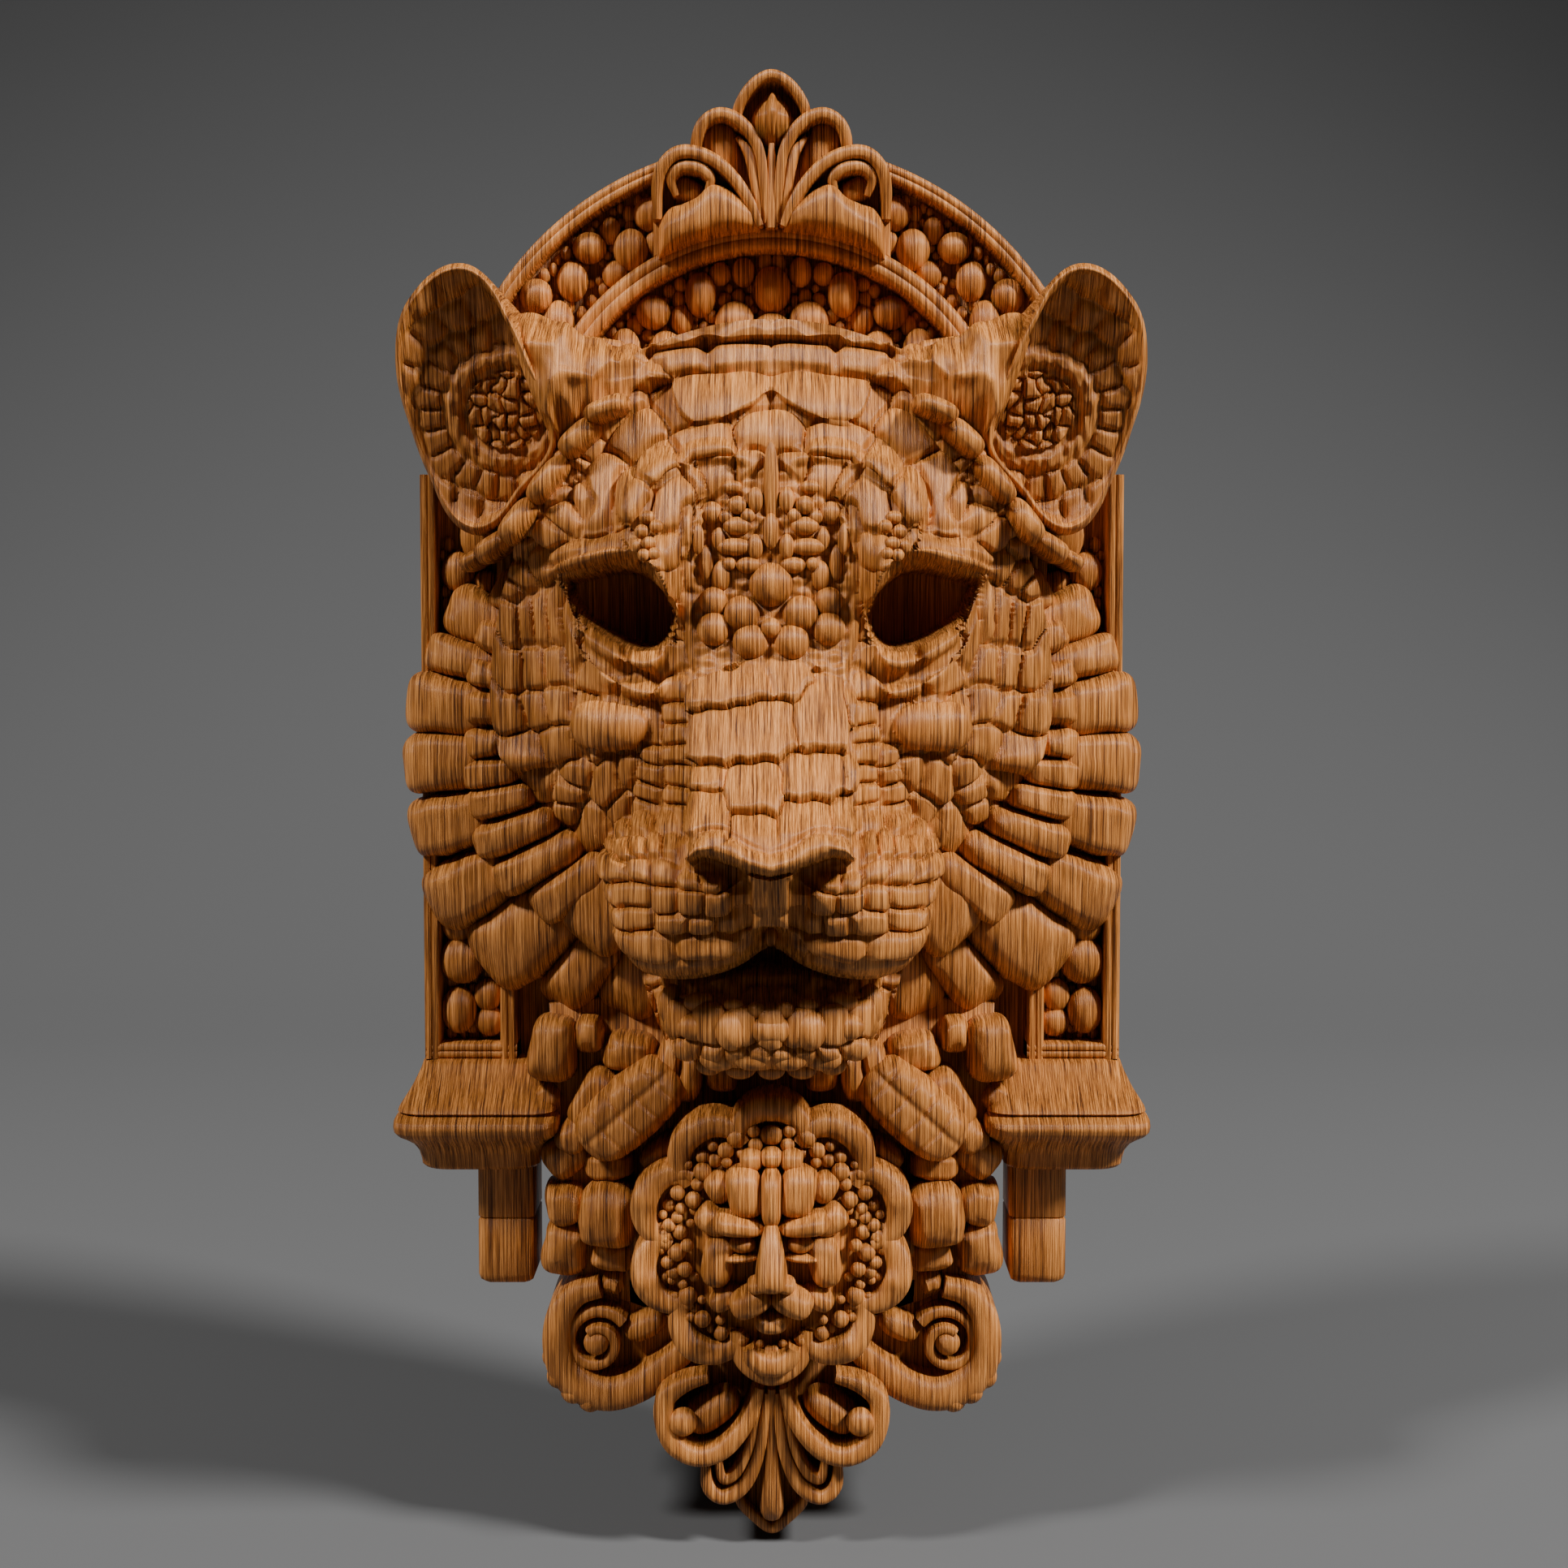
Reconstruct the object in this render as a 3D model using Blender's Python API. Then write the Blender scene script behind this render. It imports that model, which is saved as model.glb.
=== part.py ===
# Tiger head relief carving, cut from one block of striped hardwood and hung flat against a wall.
# Metres, +Z up. The carving looks along -Y and its flat back lies in the plane y = 0, with the
# origin in the middle of the back. "Reach" below is how far a surface stands out from that back.
import bmesh
import bpy
import math
import numpy as np

# Sizes that can be set by themselves, in metres
HEIGHT = 0.600
BOARD_HALF_WIDTH = 0.145
BOARD_THICKNESS = 0.016
FRAME_BOTTOM = -0.105
FRAME_REACH = 0.031
RIM_WIDTH = 0.0065
CHANNEL_WIDTH = 0.0250
INNER_RIM_WIDTH = 0.0070
ARCH_CENTRE = 0.1376
ARCH_RADIUS = 0.1353
LUNETTE_RADIUS = 0.1003
LUNETTE_RIM_WIDTH = 0.0095
LUNETTE_RIM_REACH = 0.036
CAPITAL_HALF_WIDTH = 0.0340
CAPITAL_OVERHANG = 0.0105
CAPITAL_HEIGHT = 0.0445
CAPITAL_REACH = 0.062
CAPITAL_CORNER = 0.011
PEG_WIDTH = 0.0235
PEG_LENGTH = 0.050
PEG_REACH = 0.034
BERRY_RADIUS = 0.0080
VOXEL = 0.0016
TRIANGLES = 9400

# The figure keeps its proportions: one unit is a six-hundredth of the height
UNIT = HEIGHT / 600.0
BACK_SINK = 6.0
# Reach, in units, to which the undersides of petals and lumps are carried into the wood; the
# mane's outer petals hang free over the board's edge, down to this angle round the face
GROUND = 9.0
OVERHANG_ANGLE = 215

# Head, in units: height above the origin, reach of the skull, half width of the face
SKULL = np.array([
    (196, 50, 52), (188, 60, 60), (176, 73, 70), (160, 87, 81), (140, 98, 91), (118, 104, 100),
    (98, 105, 106), (75, 101, 111), (50, 97, 113), (25, 95, 110), (0, 92, 98), (-20, 89, 82),
    (-45, 83, 64), (-62, 76, 54), (-80, 68, 46), (-99, 56, 36)])
# Reach of the face's outer edge, and how much further out it is beside the ears
FACE_EDGE_REACH = 46.0
FACE_EDGE_RISE = 27.0
# Nose bridge, in units: height, rise over the skull
BRIDGE = np.array([
    (120, 0), (95, 3), (80, 6), (62, 13), (48, 23), (30, 36), (10, 53), (-4, 67), (-10, 73), (-16, 62),
    (-24, 44), (-34, 26), (-46, 8), (-60, 0)])
# Edges on the face, in units: distance from the middle line, height
NOSE_TOP = np.array([(0, -7), (7.6, -4.7), (15, -0.7), (24, -0.8), (28, -2.5), (33, -10)])
NOSE_BOTTOM = np.array([(0, -15.5), (7.6, -13.7), (15, -10.8), (24, -7.8), (30, -9.5), (33, -12)])
SOCKET_TOP = np.array([(38, 79), (41, 88), (45, 93), (56, 99), (70, 97), (80, 94.5), (87, 92)])
SOCKET_BOTTOM = np.array([
    (38, 78), (40.6, 71.4), (47.5, 65.7), (55.4, 66.5), (66.6, 72), (74, 78), (78, 84), (81, 90), (84, 94),
    (88, 97)])
LIP = np.array([
    (0, -45), (9, -49.5), (16, -53), (26, -55.8), (36, -57), (44, -56.4), (50, -53.4), (60, -40), (68, -17),
    (71, 10)])
# Lower edge of the two plates over the forehead
PLATE = np.array([(0, 167), (8, 161), (16, 156.5), (25, 154), (32, 155), (39, 168), (43, 180)])

# Mane petals of the left side: angle round the face in degrees, distance from its centre, half
# length, half width, reach at the middle, all in units
FACE_CENTRE = (0.0, 30.0)
MANE_OUTER = (
    (158, 128, 18, 11, 50), (166, 131, 18, 8.5, 52), (174.5, 132, 21, 12.5, 55), (184.5, 134, 20, 12.5, 56),
    (195, 136, 20, 12.5, 56), (206.5, 139, 21, 14, 56), (219, 131, 24, 17, 58), (231, 124, 21, 11, 57),
    (241, 114, 20, 13, 57))
MANE_INNER = (
    (151, 117, 13, 9, 57), (160, 117, 12, 7, 59), (167.5, 118, 10, 6, 60), (174, 118, 9, 7.5, 61),
    (181, 117, 9, 6, 62), (187, 115, 13, 5.5, 64), (193, 113, 15, 5.5, 66), (200, 111, 19, 6.5, 68),
    (208, 107, 21, 7, 70), (216.5, 100, 20, 8, 73), (226, 92, 22, 15, 74), (239, 86, 19, 11, 74))
# Ruff of the breast, left side: place x and z, direction in degrees, half length, half width, reach
RUFF = (
    (-90, -98, 262, 14, 10, 62), (-75, -92, 270, 9, 7, 58), (-72.5, -119, 246, 15, 9.5, 62),
    (-58, -99, 262, 9, 11, 63), (-42, -104, 258, 13, 7, 66), (-32, -106, 262, 13, 6, 68),
    (-58, -123, 226, 27, 15, 74), (-85, -143, 218, 11, 9, 54), (-67, -146, 182, 11, 7, 60),
    (-85, -163, 190, 9, 9, 57), (-67, -165, 262, 14, 12, 70), (-86, -182, 262, 12, 10, 55),
    (-66, -184, 262, 8, 9, 58), (-20, -103, 268, 12, 8, 66), (-95, -121, 215, 9, 7, 50))

# Ear, in units: radius of the outline every 30 degrees, from towards the head, anticlockwise
EAR_CENTRE = (-119.0, 165.0)
EAR_OUTLINE = (30.6, 28.5, 35, 50, 43.5, 33, 27.5, 27.5, 35, 52, 41, 39)
# Reach of its opening in the middle, and how much more towards the head and at the top, where it
# leans out; depth of the cup
EAR_REACH = (75.0, 9.0, 14.0)
EAR_DEPTH = 24.0

# From the ear to the head, in units: distance from the middle, height, half height, reach, depth
EAR_TRUMPET = (
    (96, 172, 20, 80, 24), (91.5, 173, 26, 88, 28), (80, 172.5, 22, 90, 29), (71, 172, 18, 87, 27),
    (61, 172, 14, 82, 25), (50, 174, 10.5, 76, 22), (38, 174, 7, 71, 18))
# Lumps along the ear's lower edge: place, direction in degrees, half length, half width, reach
EAR_LUMPS = (
    (-74.5, 147.5, 40, 9, 6.8, 92), (-87, 132.5, 50, 11.5, 6.4, 90), (-99.5, 116.5, 52, 10.5, 6.8, 84),
    (-111, 107.5, 32, 9, 5.2, 74), (-120.5, 102.5, 30, 6.5, 3.6, 62))

# Upper edge of the plump leaf at the crest's foot: distance from the middle, height over the rim
LEAF_EDGE = np.array([(4.4, 2.5), (11, 8.5), (18, 14), (24.5, 16), (30, 11), (36, 8.5), (42, 6.5), (46, 1)])
SCROLL_REACH = 57.0
PALMETTE_REACH = 71.0
MEDALLION_CENTRE = (0.0, -169.0)
MEDALLION_RADIUS = 56.0
MEDALLION_LOBES = 10


def clear_scene():
    for thing in list(bpy.data.objects):
        bpy.data.objects.remove(thing, do_unlink=True)


def smooth_step(low, high, value):
    t = np.clip((value - low) / (high - low), 0.0, 1.0)
    return t * t * (3.0 - 2.0 * t)


def smooth_curve(where, knots_at, knots):
    """A smooth line through the knots: Hermite pieces whose slopes are those of the neighbours."""
    order = np.argsort(knots_at)
    at, value = np.asarray(knots_at, float)[order], np.asarray(knots, float)[order]
    slope = np.gradient(value, at)
    where = np.clip(where, at[0], at[-1])
    k = np.clip(np.searchsorted(at, where) - 1, 0, len(at) - 2)
    step = at[k + 1] - at[k]
    t = (where - at[k]) / step
    return ((1 + 2 * t) * (1 - t) ** 2 * value[k] + t * (1 - t) ** 2 * step * slope[k]
            + t * t * (3 - 2 * t) * value[k + 1] + t * t * (t - 1) * step * slope[k + 1])


def smooth_max(a, b, blend):
    """The larger of two surfaces, with the crease between them rounded over the blend."""
    h = np.clip(0.5 + 0.5 * (a - b) / blend, 0.0, 1.0)
    return b + (a - b) * h + blend * h * (1.0 - h)


def dome(x, z, cx, cz, rx, rz):
    """Half an ellipsoid, 1 at its centre and 0 at its rim."""
    return np.sqrt(np.clip(1.0 - ((x - cx) / rx) ** 2 - ((z - cz) / rz) ** 2, 0.0, None))


def swell(x, z, cx, cz, rx, rz):
    """A soft rise, 1 at its centre."""
    return np.exp(-((x - cx) / rx) ** 2 - ((z - cz) / rz) ** 2)


class Block:
    """Collects closed shells; they are fused into one solid at the end."""

    def __init__(self):
        self.points, self.faces, self.count = [], [], 0

    def add(self, points, faces):
        self.points.append(np.asarray(points, float).reshape(-1, 3))
        self.faces.extend([[i + self.count for i in face] for face in faces])
        self.count += len(self.points[-1])

    def add_rings(self, rings):
        """Rings of points, each closed on itself, joined one to the next and capped at both ends."""
        n, m = rings.shape[:2]
        faces = [[i * m + j, i * m + (j + 1) % m, (i + 1) * m + (j + 1) % m, (i + 1) * m + j]
                 for i in range(n - 1) for j in range(m)]
        faces += [list(range(m))[::-1], [(n - 1) * m + j for j in range(m)]]
        self.add(rings, faces)

    def add_sheet(self, x, z, reach, back):
        """A carved face over a grid of places, closed by straight sides and a flat back."""
        n, m = x.shape
        front = np.stack([x, -reach, z], -1).reshape(-1, 3)
        edge = ([j for j in range(m)] + [i * m + m - 1 for i in range(1, n)]
                + [(n - 1) * m + j for j in range(m - 2, -1, -1)] + [i * m for i in range(n - 2, 0, -1)])
        rear = front[edge].copy()
        rear[:, 1] = -back
        faces = [[i * m + j, i * m + j + 1, (i + 1) * m + j + 1, (i + 1) * m + j]
                 for i in range(n - 1) for j in range(m - 1)]
        k = len(edge)
        faces += [[edge[i], n * m + i, n * m + (i + 1) % k, edge[(i + 1) % k]] for i in range(k)]
        faces.append([n * m + i for i in range(k)][::-1])
        self.add(np.concatenate([front, rear]), faces)


def extrude(block, outline, back, front):
    """A flat shape cut out along an outline of (x, z) points."""
    outline = np.asarray(outline, float)
    rings = np.zeros((2, len(outline), 3))
    rings[:, :, 0], rings[:, :, 2] = outline[:, 0], outline[:, 1]
    rings[0, :, 1], rings[1, :, 1] = -back, -front
    block.add_rings(rings)


def sweep(block, path, section):
    """A moulding: a closed section of (across, reach) points carried along a path of (x, z) points."""
    path, section = np.asarray(path, float), np.asarray(section, float)
    along = np.gradient(path, axis=0)
    along /= np.linalg.norm(along, axis=1)[:, None]
    across = np.stack([along[:, 1], -along[:, 0]], 1)
    rings = np.zeros((len(path), len(section), 3))
    rings[:, :, 0] = path[:, None, 0] + across[:, None, 0] * section[None, :, 0]
    rings[:, :, 2] = path[:, None, 1] + across[:, None, 1] * section[None, :, 0]
    rings[:, :, 1] = -section[None, :, 1]
    block.add_rings(rings)


def square_rim(width, back, front):
    """The section of a frame's rim, with its front edges eased."""
    ease = min(width, front - back) * 0.2
    half = width / 2
    return ((-half, back), (half, back), (half, front - ease), (half - ease, front),
            (-half + ease, front), (-half, front - ease))


def petal(block, place, reach, direction, half_length, half_width, half_depth, taper=0.0, square=0.6,
          droop=0.0, skirt=0.0):
    """A plump petal: an ellipsoid with a squarer outline, wider towards its tip by the taper, whose
    tip droops back towards the board. Its direction is in degrees, seen from the front. The skirt
    carries its underside that much further into the wood."""
    u = np.linspace(0.06, math.pi - 0.06, 13)[:, None]
    v = np.linspace(0, 2 * math.pi, 16, endpoint=False)[None, :]
    run = -np.sign(np.cos(u)) * np.abs(np.cos(u)) ** square + 0 * v
    girth = np.sin(u) ** square * (1 + taper * run)
    wide = girth * np.sign(np.cos(v)) * np.abs(np.cos(v)) ** square
    deep = girth * np.sign(np.sin(v)) * np.abs(np.sin(v)) ** (0.4 + 0.6 * square)
    turn = math.radians(direction)
    rings = np.zeros(run.shape + (3,))
    rings[..., 0] = place[0] + run * half_length * math.cos(turn) - wide * half_width * math.sin(turn)
    rings[..., 2] = place[1] + run * half_length * math.sin(turn) + wide * half_width * math.cos(turn)
    rings[..., 1] = -(reach - half_depth + deep * half_depth - droop * (run + 1) ** 2 / 4
                      + np.minimum(deep, 0) * skirt)
    block.add_rings(rings)


def ball(block, x, z, reach, radius, tall=1.0):
    """A berry, carried into the wood below its widest place so that nothing is hollow under it."""
    petal(block, (x, z), reach, 90, radius * tall, radius, radius, square=1.0, skirt=2 * radius)


def skull_reach(a, z):
    """The skull with its brows, cheekbones and nose bridge; a is the distance from the middle."""
    top = smooth_curve(z, SKULL[:, 0], SKULL[:, 1])
    width = smooth_curve(z, SKULL[:, 0], SKULL[:, 2])
    edge = FACE_EDGE_REACH + FACE_EDGE_RISE * smooth_step(84, 122, z) * smooth_step(192, 168, z)
    reach = edge + (top - edge) * (1 - np.clip(a / width, 0, 1) ** 2.3) ** 0.75
    upper = smooth_curve(a, SOCKET_TOP[:, 0], SOCKET_TOP[:, 1])
    ledge = 11 * np.exp(-((z - upper - 6.5) / 5) ** 2) + 8 * np.exp(-((z - upper - 12) / 11) ** 2)
    reach += ledge * smooth_step(32, 46, a) * smooth_step(98, 70, a)
    reach += 10 * dome(a, z, 42, 121, 17.5, 24) ** 0.7 + 11 * swell(a, z, 39, 98, 8, 18)
    reach += 9 * swell(a, z, 74, 32, 26, 28) + 7 * dome(a, z, 64, 37, 17, 11.5)
    reach -= 4 * swell(a, z, 0, 92, 24, 24)
    bridge = smooth_curve(z, BRIDGE[:, 0], BRIDGE[:, 1])
    edge = 30.5 + 2.5 * smooth_step(0, 60, z)
    slope = np.exp(-(np.clip(a - 28, 0, None) / 25) ** 2)
    crown = 0.003 * np.minimum(a, 31) ** 2
    return reach + bridge * (0.55 * slope + 0.45 * smooth_step(edge + 7, edge - 2.5, a)) - crown


def add_pads(reach, a, z):
    """The two pads of the muzzle, which overhang the mouth, and the face fallen back below them."""
    lip = smooth_curve(a, LIP[:, 0], LIP[:, 1])
    pads = np.clip(1 - (np.abs(a - 31) / 38.5) ** 2.5 - (np.abs(z + 28) / 36) ** 2.5, 0, None)
    pad_reach = 74 + 73 * pads ** 0.42 - 0.12 * np.clip(a - 20, 0, None)
    pad_reach += 4 * np.exp(-((z - lip - 5) / 4.5) ** 2) * smooth_step(2, 14, a)
    pad_reach += 14 * swell(a, z, 16, -21, 20, 13)
    reach = np.where(z > lip + 0.5, smooth_max(reach, pad_reach, 5), reach)
    above = smooth_step(0, 1.5, z - lip) * smooth_step(71, 69, a)
    fallen = 136 - 0.65 * a - 0.7 * np.clip(lip - z, 0, 14)
    return reach + (np.minimum(reach, fallen) - reach) * (1 - above) * smooth_step(8, -16, z)


def add_nose(reach, a, z):
    """A rolled lip over the two nostrils, and the narrow septum between them."""
    high = smooth_curve(a, NOSE_TOP[:, 0], NOSE_TOP[:, 1])
    low = smooth_curve(a, NOSE_BOTTOM[:, 0], NOSE_BOTTOM[:, 1])
    roll = np.clip((z - low) / (high - low), 0, 1)
    on_nose = smooth_step(33, 30.5, a)
    reach = np.where((z > high) & (a < 40), np.minimum(reach, 166.5), reach)
    rolled = 163 - 0.1 * a + 7.5 * np.sin(roll * math.pi) ** 0.6
    on_roll = on_nose * smooth_step(high + 0.8, high - 0.8, z) * smooth_step(low - 1.2, low + 0.8, z)
    reach += (rolled - reach) * on_roll
    end = low - 2 - 4 * smooth_step(29, 13, a)
    under = on_nose * smooth_step(low - 0.3, low - 2, z) * smooth_step(end - 5, end + 1, z)
    reach += (np.minimum(reach, 152 - 0.1 * a) - reach) * under
    reach -= 4 * dome(a, z, 19, -14, 9, 5)
    septum = 149 + 0.60 * (z + 39)
    in_septum = smooth_step(12, 7, a + 0.25 * np.clip(-24 - z, 0, None) ** 1.1)
    in_septum *= smooth_step(-43, -36, z) * smooth_step(low + 0.5, low - 1, z)
    return reach + np.clip(septum - reach, 0, None) * in_septum


def head_reach(x, z):
    """Reach of the face over a place, in units: the skull, the muzzle, the nose, the empty eye
    sockets with their rolled lids, the chin and the two plates over the forehead."""
    a = np.abs(x)
    reach = add_nose(add_pads(skull_reach(a, z), a, z), a, z)
    upper = smooth_curve(a, SOCKET_TOP[:, 0], SOCKET_TOP[:, 1])
    lower = smooth_curve(a, SOCKET_BOTTOM[:, 0], SOCKET_BOTTOM[:, 1])
    depth = np.clip(np.minimum(1.8 * (z - lower), 2.5 * (upper - z)), 0, 9)
    depth *= smooth_step(37, 41, a) * smooth_step(84.5, 82, a)
    reach -= 50 * smooth_step(0, 7, depth) * (0.5 + 0.5 * smooth_step(80, 52, a))
    lids = smooth_step(38, 46, a) * smooth_step(84, 76, a)
    reach += 6.5 * np.exp(-((z - lower + 4.5) / 3.6) ** 2) * lids
    reach += 5.5 * np.exp(-((z - lower + 14.5 - 0.1 * (a - 60)) / 3.8) ** 2) * lids
    chin = np.clip(1 - (a / 45.5) ** 2.8 - (np.abs(z + 74.5) / 22.5) ** 2.8, 0, None)
    lip = smooth_curve(a, LIP[:, 0], LIP[:, 1])
    chin_reach = 60 + 68 * chin ** 0.42 - 7 * smooth_step(-70, -60, z)
    reach = np.where(z < lip, smooth_max(reach, chin_reach, 3), reach)
    plate = smooth_curve(a, PLATE[:, 0], PLATE[:, 1])
    on_plate = smooth_step(plate - 0.8, plate + 1.2, z) * smooth_step(43, 39, a) * smooth_step(185, 172, z)
    reach += 4.5 * on_plate
    return np.maximum(reach, 40)


def add_head(block):
    s = np.linspace(0, 1, 220)[:, None]
    t = np.linspace(-1, 1, 160)[None, :]
    z_line = SKULL[0, 0] + (SKULL[-1, 0] - SKULL[0, 0]) * s
    width = smooth_curve(z_line, SKULL[:, 0], SKULL[:, 2])
    x = t * width
    z = z_line - 12 * t ** 2 * (1 - s) ** 2 + 14 * t ** 2 * s ** 4
    block.add_sheet(x[::-1] * UNIT, z[::-1] * UNIT, head_reach(x, z)[::-1] * UNIT, 2 * UNIT)


def mirrored(side, x):
    return x if side < 0 else -x


def add_ears(block):
    """Each ear is a deep cup that opens forward and outward, on a trumpet that runs to the head."""
    angle = np.radians(np.arange(0, 360, 7.5))
    outline = smooth_curve(np.degrees(angle), np.arange(-60, 421, 30),
                           EAR_OUTLINE[-2:] + EAR_OUTLINE + EAR_OUTLINE[:3])
    middle, inward, upward = EAR_REACH
    lean = inward * np.cos(angle) + upward * np.sin(angle)
    # each step: share of the outline, reach over the opening, share of the depth, shift to the head
    steps = ((0.02, 0, 1, 9), (0.3, 0, 1, 9), (0.6, 0, 1, 8), (0.82, 0, 0.8, 4), (0.93, -0.5, 0.15, 0),
             (0.965, 0, 0, 0), (1.0, -2, 0, 0), (1.02, -8, 0, 0), (0.96, -26, 0, 5), (0.84, -46, 0, 14),
             (0.7, -74, 0, 20))
    turn = np.radians(np.arange(0, 360, 20))
    for side in (-1, 1):
        rings = []
        for share, rise, hollow, shift in steps:
            x = EAR_CENTRE[0] + shift + outline * share * np.cos(angle)
            z = EAR_CENTRE[1] - shift * 0.4 + outline * share * np.sin(angle)
            depth = EAR_DEPTH * (0.5 + 0.45 * share * np.cos(angle - 0.35))
            reach = np.maximum(middle + lean * share + rise - hollow * depth, 6)
            rings.append(np.stack([mirrored(side, x), -reach, z], -1))
        rings = np.array(rings) * UNIT
        block.add_rings(rings if side < 0 else rings[:, ::-1])
        rings = []
        for lean, (out, z, tall, reach, deep) in zip((0.37, 0.33, 0.14, 0, 0, 0, 0), EAR_TRUMPET):
            below = np.minimum(np.cos(turn), 0) * (reach - 2 * deep - GROUND)
            front = reach - deep + deep * np.cos(turn) + below
            rings.append(np.stack([side * (out + lean * tall * np.sin(turn)), -front,
                                   z + tall * np.sin(turn)], -1))
        rings = np.array(rings) * UNIT
        block.add_rings(rings if side < 0 else rings[:, ::-1])
        out, height, tall = np.array(EAR_TRUMPET)[:, :3].T
        under = np.concatenate([np.stack([side * (out + 4), height + 0.9 * tall], 1),
                                np.stack([side * (out + 4), height - 0.9 * tall], 1)[::-1]])
        extrude(block, under * UNIT, 0, 52 * UNIT)
        for x, z, direction, length, width, reach in EAR_LUMPS:
            petal(block, (mirrored(side, x) * UNIT, z * UNIT), reach * UNIT,
                  direction if side < 0 else 180 - direction, length * UNIT, width * UNIT, 24 * UNIT,
                  square=0.65, skirt=(reach - 48 - GROUND) * UNIT)


def add_mane(block):
    """Two rows of petals round the lower face, and the ruff of the breast, on a solid ground."""
    ground = np.radians(np.linspace(154, 246, 26))
    for side in (-1, 1):
        for radius, height in ((124, 38), (137, 29)):
            edge = np.stack([-side * radius * np.cos(ground), FACE_CENTRE[1] + radius * np.sin(ground)], 1)
            extrude(block, np.concatenate([edge, [(0, -70), (0, 90)]]) * UNIT, 0, height * UNIT)
        for row, depth, droop in ((MANE_OUTER, 21, 17), (MANE_INNER, 20, 10)):
            for angle, distance, length, width, reach in row:
                turn = math.radians(angle)
                x = FACE_CENTRE[0] + distance * math.cos(turn)
                z = FACE_CENTRE[1] + distance * math.sin(turn)
                direction = angle if side < 0 else 180 - angle
                over_board = row is MANE_INNER or angle > OVERHANG_ANGLE
                skirt = (reach - 2 * depth - GROUND) * UNIT if over_board else 0
                petal(block, (mirrored(side, x) * UNIT, z * UNIT), reach * UNIT, direction, length * UNIT,
                      width * UNIT, depth * UNIT, taper=0.12, square=0.6, droop=droop * UNIT, skirt=skirt)
        for x, z, direction, length, width, reach in RUFF:
            direction = direction if side < 0 else 180 - direction
            petal(block, (mirrored(side, x) * UNIT, z * UNIT), reach * UNIT, direction, length * UNIT,
                  width * UNIT, 20 * UNIT, taper=0.1, droop=6 * UNIT, skirt=(reach - 40 - GROUND) * UNIT)


def arc(centre_z, radius, start, end, count):
    """Points of an arc about the middle line, from and to angles in degrees."""
    angle = np.radians(np.linspace(start, end, count))
    return np.stack([radius * np.cos(angle), centre_z + radius * np.sin(angle)], 1)


def add_board(block):
    """The board behind everything: straight sides with an arched top, and its lower apron."""
    arch = arc(ARCH_CENTRE, ARCH_RADIUS, 0, 180, 49)
    corners = [(-BOARD_HALF_WIDTH, ARCH_CENTRE), (-BOARD_HALF_WIDTH, FRAME_BOTTOM - CAPITAL_HEIGHT / 2),
               (BOARD_HALF_WIDTH, FRAME_BOTTOM - CAPITAL_HEIGHT / 2), (BOARD_HALF_WIDTH, ARCH_CENTRE)]
    extrude(block, np.concatenate([arch, corners])[::-1], -BACK_SINK * UNIT, BOARD_THICKNESS)
    apron = np.array([(88, -90), (88, -186), (80, -200), (58, -236), (0, -262), (-58, -236), (-80, -200),
                      (-88, -186), (-88, -90)]) * UNIT
    extrude(block, apron, -BACK_SINK * UNIT, BOARD_THICKNESS)
    breast = np.array([(92, -80), (88, -186), (76, -200), (62, -205), (0, -228), (-62, -205), (-76, -200),
                       (-88, -186), (-92, -80)]) * UNIT
    extrude(block, breast, 0, 40 * UNIT)


def add_frame(block):
    """Outer and inner rims of the frame, the lunette's rim, and the berries in the channel."""
    rim_back = BOARD_THICKNESS * 0.5
    outer = BOARD_HALF_WIDTH - RIM_WIDTH / 2
    inner = BOARD_HALF_WIDTH - RIM_WIDTH - CHANNEL_WIDTH - INNER_RIM_WIDTH / 2
    for side in (-1, 1):
        for x, width in ((outer, RIM_WIDTH), (inner, INNER_RIM_WIDTH)):
            sweep(block, [(side * x, FRAME_BOTTOM), (side * x, ARCH_CENTRE)],
                  square_rim(width, rim_back, FRAME_REACH))
        foot = FRAME_BOTTOM + RIM_WIDTH / 2
        sweep(block, [(side * (inner - INNER_RIM_WIDTH / 2), foot), (side * (outer + RIM_WIDTH / 2), foot)],
              square_rim(RIM_WIDTH, rim_back, FRAME_REACH))
        channel = BOARD_HALF_WIDTH - RIM_WIDTH - CHANNEL_WIDTH / 2
        top = ARCH_CENTRE - 24 * UNIT
        for z in np.arange(FRAME_BOTTOM + RIM_WIDTH + BERRY_RADIUS * 1.3, top, BERRY_RADIUS * 2.3):
            ball(block, side * channel, z, BOARD_THICKNESS + BERRY_RADIUS * 1.8, BERRY_RADIUS)
    sweep(block, arc(ARCH_CENTRE, ARCH_RADIUS - RIM_WIDTH / 2, 0, 180, 61),
          square_rim(RIM_WIDTH, rim_back, FRAME_REACH))
    sweep(block, arc(ARCH_CENTRE, LUNETTE_RADIUS - LUNETTE_RIM_WIDTH / 2, 0, 180, 61),
          square_rim(LUNETTE_RIM_WIDTH, rim_back, LUNETTE_RIM_REACH))
    between = (ARCH_RADIUS - RIM_WIDTH + LUNETTE_RADIUS) / 2
    for x, z in arc(ARCH_CENTRE, between, 25, 155, 15):
        ball(block, x, z, BOARD_THICKNESS + BERRY_RADIUS * 1.8, BERRY_RADIUS)
    for x, z in arc(ARCH_CENTRE, LUNETTE_RADIUS - LUNETTE_RIM_WIDTH - BERRY_RADIUS * 1.5, 30, 150, 9):
        ball(block, x, z, BOARD_THICKNESS + BERRY_RADIUS * 1.8, BERRY_RADIUS, 1.2)


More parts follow.
